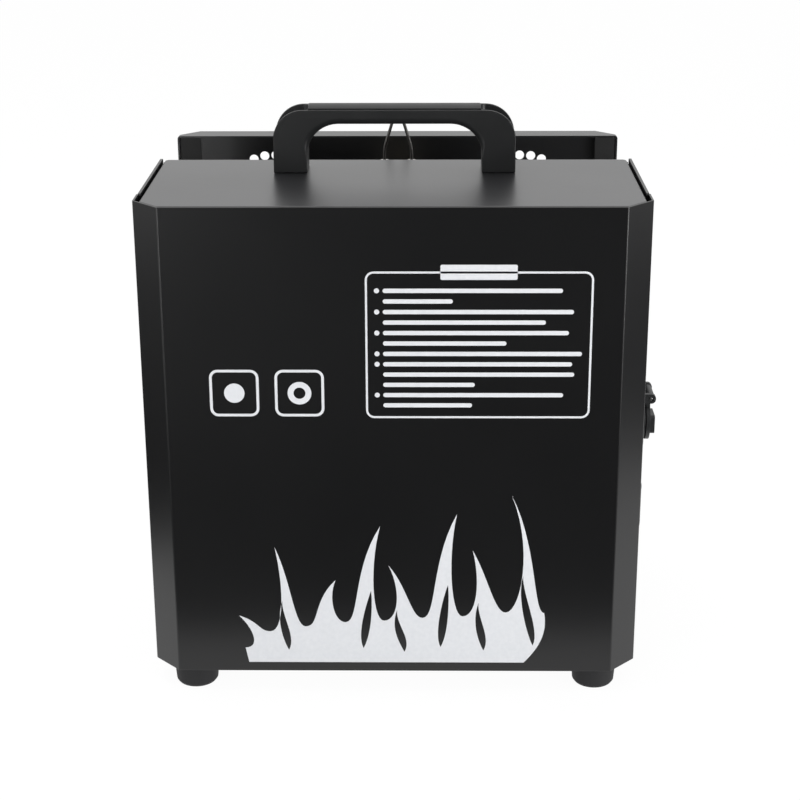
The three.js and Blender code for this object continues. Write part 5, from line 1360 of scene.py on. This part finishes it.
key_grey = moulded("key_grey", (0.16, 0.165, 0.175), 0.42, 1700.0, 0.04 * mm, 0.4)
for i, x in enumerate(key_places):
    key = turned(
        f"menu_button_{i + 1}_cap",
        sized(
            (0, -4.7), (1.6, -4.7), (1.6, -1.2), (5.2, -1.2, 0.2), (5.2, 0, 0.2), (3.9, 0),
            (3.9, 3.8, 0.7), (2.4, 3.6, 2), (0, 3.35),
        ),
        key_grey, control_frame @ shift(x, key_z), 40,
    )
    fit(eased(key, 0), "grey_plastic", f"menu_button_{i + 1}", body=f"button_{i + 1}")
board = Look("board_green")
board_place = board.node("ShaderNodeTexCoord", out="Object")
runs = []
for direction, scale in (("Y", 210.0), ("Z", 160.0)):
    wave = board.node(
        "ShaderNodeTexWave", {"wave_type": "BANDS", "bands_direction": direction},
        {"Vector": board_place, "Scale": scale, "Distortion": 5.0, "Detail": 1.0, "Detail Scale": 0.6},
    )
    runs.append(
        board.node("ShaderNodeValToRGB", {"stops": [(0.62, grey(0.0)), (0.70, grey(1.0))]}, {"Fac": wave})
    )
tracks = board.node("ShaderNodeMath", {"operation": "MAXIMUM"}, {0: runs[0], 1: runs[1]})
board_green = board.surface(
    Base_Color=board.between(tracks, (0.008, 0.07, 0.03), (0.02, 0.16, 0.07)),
    Roughness=0.32 + 0.1 * tracks, Normal=board.relief(0.4, 0.04 * mm, tracks),
)
dress("control_board", board_green)
dress("display_module", moulded("module_black", (0.03, 0.03, 0.034), 0.3, 800.0, 0.04 * mm, 0.5))

# Power inlet: a round panel connector on a screwed square flange, with three contact blades in its cup.
# Its cover is moulded too. It turns on a steel pin between two ears, and its raised grip lifts it.
fitting_black = moulded("fitting_black", (0.017, 0.018, 0.019), 0.4, 1400.0, 0.05 * mm, 0.5)
fitting_shape = rectangle(0, 0, 26 * mm, 31 * mm, 5 * mm)


def at_panel(node, z):
    """Where a fitting's own frame lies: X to the back, Y up and Z out of the side panel."""
    return facing((1, 0, 0), (panel_face, middle_of(node).y, z))


def flange_screws(name, frame, face):
    for i, (x, y) in enumerate(((-9.5 * mm, 12 * mm), (9.5 * mm, -12 * mm))):
        place = frame @ shift(x, y, face)
        fit(screw(f"{name}_screw_{i + 1}", place, 2.5 * mm, 0.4 * mm, black_screw), "black_plastic")


inlet_frame = at_panel("power_inlet", inlet_z)
inlet_shape = [fitting_shape, circle(0, 0, 11.5 * mm, 48)]
inlet_flange = plate("inlet_flange", [inlet_shape], 0.3 * mm, 3.3 * mm, fitting_black, inlet_frame)
fit(eased(inlet_flange, 0.5 * mm, 3), "black_plastic", "power_inlet")
inlet_cup = turned(
    "inlet_cup",
    sized(
        (0, -26), (11.8, -26, 0.8), (11.8, 0), (12.5, 0.4), (12.5, 4.5, 0.5), (10, 4.5, 0.5), (10, -12.5),
        (0, -12.5),
    ),
    fitting_black, inlet_frame, 56,
)
fit(eased(inlet_cup, 0), "black_plastic")
blade_shape = rectangle(0, 6.4 * mm, 5 * mm, 1.6 * mm, 0.3 * mm)
for i in range(3):
    spun = inlet_frame @ Matrix.Rotation(2 * math.pi * i / 3, 4, "Z")
    blade = plate(f"inlet_blade_{i + 1}", [[blade_shape]], -12.7 * mm, -0.5 * mm, bright_steel, spun)
    fit(eased(blade, 0.3 * mm), "bare_steel")
axis_up, axis_out = 16.5 * mm, 7 * mm
ear_shape = [
    rounded(sized((13.5, 0.3), (19.5, 0.3), (19.5, 10, 2.7), (13.5, 10, 2.7))),
    circle(axis_up, axis_out, 1.3 * mm),
]
for name, x in (("front", -12 * mm), ("rear", 9 * mm)):
    ear = plate(f"inlet_{name}_ear", [ear_shape], x, x + 3 * mm, fitting_black, inlet_frame @ to_the_right)
    fit(eased(ear, 0.3 * mm), "black_plastic")
flange_screws("inlet", inlet_frame, 3.3 * mm)
lid_axis = inlet_frame @ shift(0, axis_up, axis_out) @ to_the_right
lid_radius, arm_half, lid_low, lid_high = 13 * mm, 8 * mm, 4.8 * mm, 7.2 * mm
arm_angle = math.acos(arm_half / lid_radius)
lid_shape = [Vector((arm_half, axis_up)), Vector((-arm_half, axis_up))]
for k in range(49):
    angle = math.pi - arm_angle + (math.pi + 2 * arm_angle) * k / 48
    lid_shape.append(Vector((lid_radius * math.cos(angle), lid_radius * math.sin(angle))))
inlet_lid = plate("inlet_cover_lid", [[lid_shape]], lid_low, lid_high, fitting_black, inlet_frame)
fit(eased(inlet_lid, 0.5 * mm, 3), "black_plastic", "inlet_cover", body="inlet_flap")
barrel = turned(
    "inlet_cover_barrel", sized((1.3, -8.6), (2.6, -8.6, 0.4), (2.6, 8.6, 0.4), (1.3, 8.6)),
    fitting_black, lid_axis, 32,
)
fit(eased(barrel, 0), "black_plastic", body="inlet_flap")
grip_low, grip_high = -7.7 * mm, 3.9 * mm
grip_shape = rectangle(0, (grip_low + grip_high) / 2, 16 * mm, grip_high - grip_low, 2 * mm)
lid_grip = plate(
    "inlet_cover_grip", [[grip_shape]], lid_low + 1 * mm, 10.5 * mm, fitting_black, inlet_frame,
)
scoops = []
for i in range(4):
    scoop_shape = rectangle(0, grip_low + (2.2 + 2.4 * i) * mm, 12 * mm, 1 * mm, 0.4 * mm)
    scoops.append(plate("scoop", [[scoop_shape]], 9.9 * mm, 12 * mm, fitting_black, inlet_frame))
carved(lid_grip, "DIFFERENCE", *scoops)
fit(eased(lid_grip, 0.4 * mm, 3), "black_plastic", body="inlet_flap")
hinge_pin = turned(
    "inlet_pin", sized((0, -12), (1, -12, 0.3), (1, 12, 0.3), (0, 12)), bright_steel, lid_axis, 24,
)
fit(eased(hinge_pin, 0), "bare_steel", "inlet_hinge_pin", body=nodes["inlet_hinge_pin"]["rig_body"])

# Power switch: a snap-in body of black plastic with a bevelled bezel. The bar and the ring on its dished
# rocker are printed in the same white ink as the front.
switch_frame = at_panel("power_switch_body", inlet_z)
well_wide, well_tall, well_floor_z = 11.2 * mm, 18.8 * mm, -7.2 * mm
bezel_shape = [
    rectangle(0, 0, 15 * mm, 22.6 * mm, 1.5 * mm), rectangle(0, 0, well_wide, well_tall, 0.5 * mm),
]
bezel = plate("switch_bezel", [bezel_shape], 0.3 * mm, 2.3 * mm, fitting_black, switch_frame)
fit(eased(bezel, 0.6 * mm, 3), "black_plastic", "power_switch_body")
outer_shape = rectangle(0, 0, switch_wide, switch_high)
walls_shape = [outer_shape, rectangle(0, 0, well_wide, well_tall)]
walls = plate("switch_walls", [walls_shape], well_floor_z, 0.5 * mm, fitting_black, switch_frame)
fit(eased(walls), "black_plastic")
housing = plate("switch_housing", [[outer_shape]], -16 * mm, well_floor_z, fitting_black, switch_frame)
fit(eased(housing, 0.5 * mm), "black_plastic")
rocker_tilt = math.radians(10)
rocker_frame = switch_frame @ shift(0, 0, -3 * mm) @ Matrix.Rotation(rocker_tilt, 4, "X")
rocker_black = moulded("rocker_black", (0.015, 0.015, 0.016), 0.28, 2400.0, 0.02 * mm, 0.5)
rocker_half, rocker_dish, rocker_high = 8 * mm, 5 * mm, 6.5 * mm
rocker_shape = [
    (-rocker_half, 2 * mm), (-3 * mm, -2 * mm), (3 * mm, -2 * mm), (rocker_half, 2 * mm),
    (rocker_half, rocker_high),
]
for k in range(1, 12):
    share = 1 - k / 6
    rocker_shape.append((rocker_half * share, rocker_dish + (rocker_high - rocker_dish) * share * share))
rocker_shape.append((-rocker_half, rocker_high))
rocker = plate(
    "switch_rocker", [[rocker_shape]], -5.3 * mm, 5.3 * mm, rocker_black, rocker_frame @ to_the_right,
)
fit(eased(rocker, 0.5 * mm, 3), "black_plastic", "power_switch_rocker", body="rocker")
for name, side, shapes in (
    ("bar", 1, [[rectangle(0, 0, 0.7 * mm, 3.2 * mm, 0.2 * mm)]]),
    ("ring", -1, [[circle(0, 0, 1.7 * mm, 32), circle(0, 0, 1.1 * mm, 32)]]),
):
    slope = math.atan(2 * (rocker_high - rocker_dish) * 0.5 / rocker_half)
    lies = shift(0, side * 4 * mm, rocker_dish + 0.25 * (rocker_high - rocker_dish))
    mark = plate(
        f"rocker_{name}", shapes, -0.15 * mm, 0.1 * mm, white_print,
        rocker_frame @ lies @ Matrix.Rotation(side * slope, 4, "X"),
    )
    fit(eased(mark, 0), "black_plastic", body="rocker")

# Fuse holder: a moulded barrel that screws into the side panel. Its bayonet cap has a grooved edge and a slot
# for a screwdriver.
fuse_frame = at_panel("fuse_holder", inlet_z)
fuse_holder = turned(
    "fuse_holder_barrel",
    sized(
        (0, -30), (6, -30, 1), (6, 0.3), (8.5, 0.3), (8.5, 2.3, 0.9), (3.6, 2.3), (3.6, -21.7),
        (0, -21.7),
    ),
    fitting_black, fuse_frame, 48,
)
fit(eased(fuse_holder, 0), "black_plastic", "fuse_holder")
edge = []
for k in range(144):
    angle = 2 * math.pi * k / 144
    radius = (6.5 - 0.5 * max(0, math.cos(12 * angle)) ** 2) * mm
    edge.append((radius * math.cos(angle), radius * math.sin(angle)))
fuse_cap = plate("fuse_cap_moulding", [[edge]], 2.6 * mm, 8.6 * mm, fitting_black, fuse_frame)
slot_shape = rectangle(0, 0, 20 * mm, 1.4 * mm)
cap_slot = plate("cap_slot", [[slot_shape]], 7.1 * mm, 12 * mm, fitting_black, fuse_frame)
carved(fuse_cap, "DIFFERENCE", cap_slot)
fit(eased(fuse_cap, 0.4 * mm, 3, angle=50), "black_plastic", "fuse_cap", body="cap")
cap_stem = turned(
    "fuse_cap_stem", sized((0, -19.4), (3.2, -19.4, 0.3), (3.2, 3), (0, 3)), fitting_black, fuse_frame,
    28,
)
fit(eased(cap_stem, 0), "black_plastic", body="cap")

# Control sockets: the input is a cup with three pins. The output is a face with three holes inside a ring
# groove, and its sprung steel tab releases the plug.
contact_circle, insert_radius, insert_floor, tab_y = 4.7 * mm, 7.8 * mm, -7.5 * mm, 13.3 * mm
for name, pins in (("dmx_in_socket", True), ("dmx_out_socket", False)):
    frame_here = at_panel(name, middle_of(name).z)
    shape = [fitting_shape, circle(0, 0, 9.4 * mm, 56)]
    if not pins:
        shape.append(rectangle(0, tab_y, 8.6 * mm, 2.4 * mm, 0.4 * mm))
    socket_flange = plate(name + "_flange", [shape], 0.3 * mm, 3.5 * mm, fitting_black, frame_here)
    fit(eased(socket_flange, 0.4 * mm, 3), "black_plastic", name)
    barrel = turned(
        name + "_barrel",
        sized((0, -24), (11.8, -24, 0.8), (11.8, 0.2), (9.4, 0.2), (9.4, -10.5), (0, -10.5)),
        fitting_black, frame_here, 56,
    )
    fit(eased(barrel, 0), "black_plastic")
    angles = [math.pi * (0.5 + 2 * i / 3) for i in range(3)]
    spots = [(contact_circle * math.cos(a), contact_circle * math.sin(a)) for a in angles]
    if pins:
        pin_profile = sized((0, -10.7), (1.2, -10.7), (1.2, 1.5, 0.9), (0, 1.5))
        for i, (x, y) in enumerate(spots):
            pin_place = frame_here @ shift(x, y)
            pin = turned(f"{name}_pin_{i + 1}", pin_profile, bright_steel, pin_place, 24)
            fit(eased(pin, 0), "bare_steel")
    else:
        bores = [circle(x, y, 1.5 * mm, 24) for x, y in spots]
        edge = circle(0, 0, insert_radius, 56)
        insert = plate(
            name + "_insert", [[edge, *bores]], insert_floor, 3.5 * mm, fitting_black, frame_here,
        )
        fit(eased(insert, 0.3 * mm), "black_plastic")
        closed_end = plate(
            name + "_insert_foot", [[edge]], -10.8 * mm, insert_floor, fitting_black, frame_here
        )
        fit(eased(closed_end, 0), "black_plastic")
        tab_shape = rectangle(0, tab_y, 8 * mm, 1.8 * mm, 0.4 * mm)
        tab = plate("release_tab_strip", [[tab_shape]], 2.4 * mm, 5 * mm, bright_steel, frame_here)
        fit(eased(tab, 0.3 * mm), "bare_steel", "dmx_latch_tab", body="release_tab")
    flange_screws(name, frame_here, 3.5 * mm)

# Gas can door: one folded sheet with flanges along its top and bottom, and four slots that let gas out low
# down. It closes flush in the rear cover's opening.
door_face = rear_high.y
door_left, door_right = door_low.x, door_high.x
door_line = [
    (door_face - 8 * mm, door_low.z), (door_face, door_low.z), (door_face, door_high.z),
    (door_face - 8 * mm, door_high.z),
]
can_door = strip("can_door_sheet", door_line, door_left, door_right, rear_coat, to_the_right)
facing_rear = facing((0, 1, 0), (0, door_face, 0))
door_x = (door_left + door_right) / 2
door_shape = rectangle(-door_x, door_middle_z, 2 * door_half, door_high.z - door_low.z, door_corner)
carved(can_door, "INTERSECT", plate("trimmed", [[door_shape]], -12 * mm, 2 * mm, rear_coat, facing_rear))
latch_x, latch_z = middle_of("door_latch").xz
hole_shape = circle(-latch_x, latch_z, 4.4 * mm, 36)
cuts = [plate("latch_hole", [[hole_shape]], -6 * mm, 2 * mm, rear_coat, facing_rear)]
door_slot_z, door_slot_pitch = 14 * mm, 9 * mm
for i in range(4):
    slot_z = door_low.z + door_slot_z + i * door_slot_pitch
    slot_shape = rectangle(-door_x, slot_z, 50 * mm, 3 * mm, 1.45 * mm)
    cuts.append(plate("door_slot", [[slot_shape]], -3 * mm, 2 * mm, rear_coat, facing_rear))
carved(can_door, "DIFFERENCE", *cuts)
fit(eased(can_door, 0.2 * mm), "black_coat", "can_door", body="door")

# Door hinge: two leaves of zinc plated steel, rolled into five knuckles round a plain pin. Three rivets hold
# each of them, one to the rear cover and the other to the door.
hinge_low, hinge_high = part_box("door_hinge_pin")
hinge_axis = shift(*middle_of("door_hinge_pin").xy)
leaf_low, leaf_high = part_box("door_hinge_fixed_leaf")
knuckle_radius, leaf_reach, leaf_sheet, play = 2.6 * mm, 16.6 * mm, 1 * mm, 0.15 * mm
knuckle_step = (leaf_high.z - leaf_low.z) / 5
for name, side, first, body in (("fixed", -1, 0, "machine"), ("moving", 1, 1, "door")):
    near, far = side * (knuckle_radius + 0.3 * mm), side * leaf_reach
    leaf_frame = hinge_axis @ facing((0, 1, 0), (0, -knuckle_radius, 0)) @ mirrored
    leaf_shape = rounded([
        (near, leaf_low.z), (far, leaf_low.z, 3 * mm), (far, leaf_high.z, 3 * mm), (near, leaf_high.z),
    ])
    leaf = plate(f"hinge_{name}_leaf", [[leaf_shape]], 0, leaf_sheet, zinc_plate, leaf_frame)
    fit(eased(leaf, 0.2 * mm), "zinc_steel", f"door_hinge_{name}_leaf", body=body)
    for i in range(first, 5, 2):
        low_z, high_z = leaf_low.z + i * knuckle_step + play, leaf_low.z + (i + 1) * knuckle_step - play
        link = rectangle(near / 2, -knuckle_radius + leaf_sheet / 2, abs(near) + 0.4 * mm, leaf_sheet)
        roll = [circle(0, 0, knuckle_radius, 36), circle(0, 0, 1.5 * mm, 36)]
        knuckle = plate(
            f"hinge_knuckle_{i + 1}", [roll, [link]], low_z, high_z, zinc_plate, hinge_axis,
        )
        fit(eased(knuckle, 0.15 * mm), "zinc_steel", body=body)
    rivet_profile = sized((0, 0), (2.6, 0), (2.3, 0.7, 0.4), (1, 1.3, 0.8), (0, 1.35))
    for i in range(3):
        rivet_z = leaf_low.z + (i + 0.5) * (leaf_high.z - leaf_low.z) / 3
        rivet_place = leaf_frame @ shift(side * 10.5 * mm, rivet_z, leaf_sheet)
        rivet = turned(f"hinge_{name}_rivet_{i + 1}", rivet_profile, zinc_plate, rivet_place, 28)
        fit(eased(rivet, 0), "zinc_steel", body=body)
pin = turned(
    "hinge_pin",
    [
        (0, hinge_low.z), (1.2 * mm, hinge_low.z, 0.5 * mm), (1.2 * mm, hinge_high.z, 0.5 * mm),
        (0, hinge_high.z),
    ],
    bright_steel, hinge_axis, 24,
)
fit(eased(pin, 0), "bare_steel", "door_hinge_pin", body=nodes["door_hinge_pin"]["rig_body"])

# Door latch: a zinc plated quarter-turn head with a finger bar, turned as one with its spindle. The cam on
# the spindle reaches behind the edge of the rear cover's opening.
latch_frame = facing((0, 1, 0), (latch_x, door_face, latch_z))
latch = turned(
    "latch_head",
    sized(
        (0, -6.5), (4.2, -6.5, 0.3), (4.2, -4.5), (2.4, -4.5), (2.4, -1.9), (4, -1.9), (4, 0.3),
        (9, 0.3, 0.2), (9, 1.8, 0.4), (8.1, 2.6, 0.4), (0, 2.6),
    ),
    zinc_plate, latch_frame, 56,
)
fit(eased(latch, 0), "zinc_steel", "door_latch", body="latch")
bar_shape = rectangle(0, 0, 3 * mm, 14 * mm, 1.2 * mm)
finger_bar = plate("latch_bar", [[bar_shape]], 1.5 * mm, 4.8 * mm, zinc_plate, latch_frame)
fit(eased(finger_bar, 0.6 * mm, 3), "zinc_steel", body="latch")
cam_shape = [
    rounded(sized((-5, -5, 4.7), (5, -5, 4.7), (5, 20, 2), (-5, 20, 2))), circle(0, 0, 2.7 * mm),
]
cam = plate("latch_cam_lever", [cam_shape], -4.2 * mm, -2.2 * mm, zinc_plate, latch_frame)
fit(eased(cam, 0.25 * mm), "zinc_steel", "latch_cam", body=nodes["latch_cam"]["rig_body"])
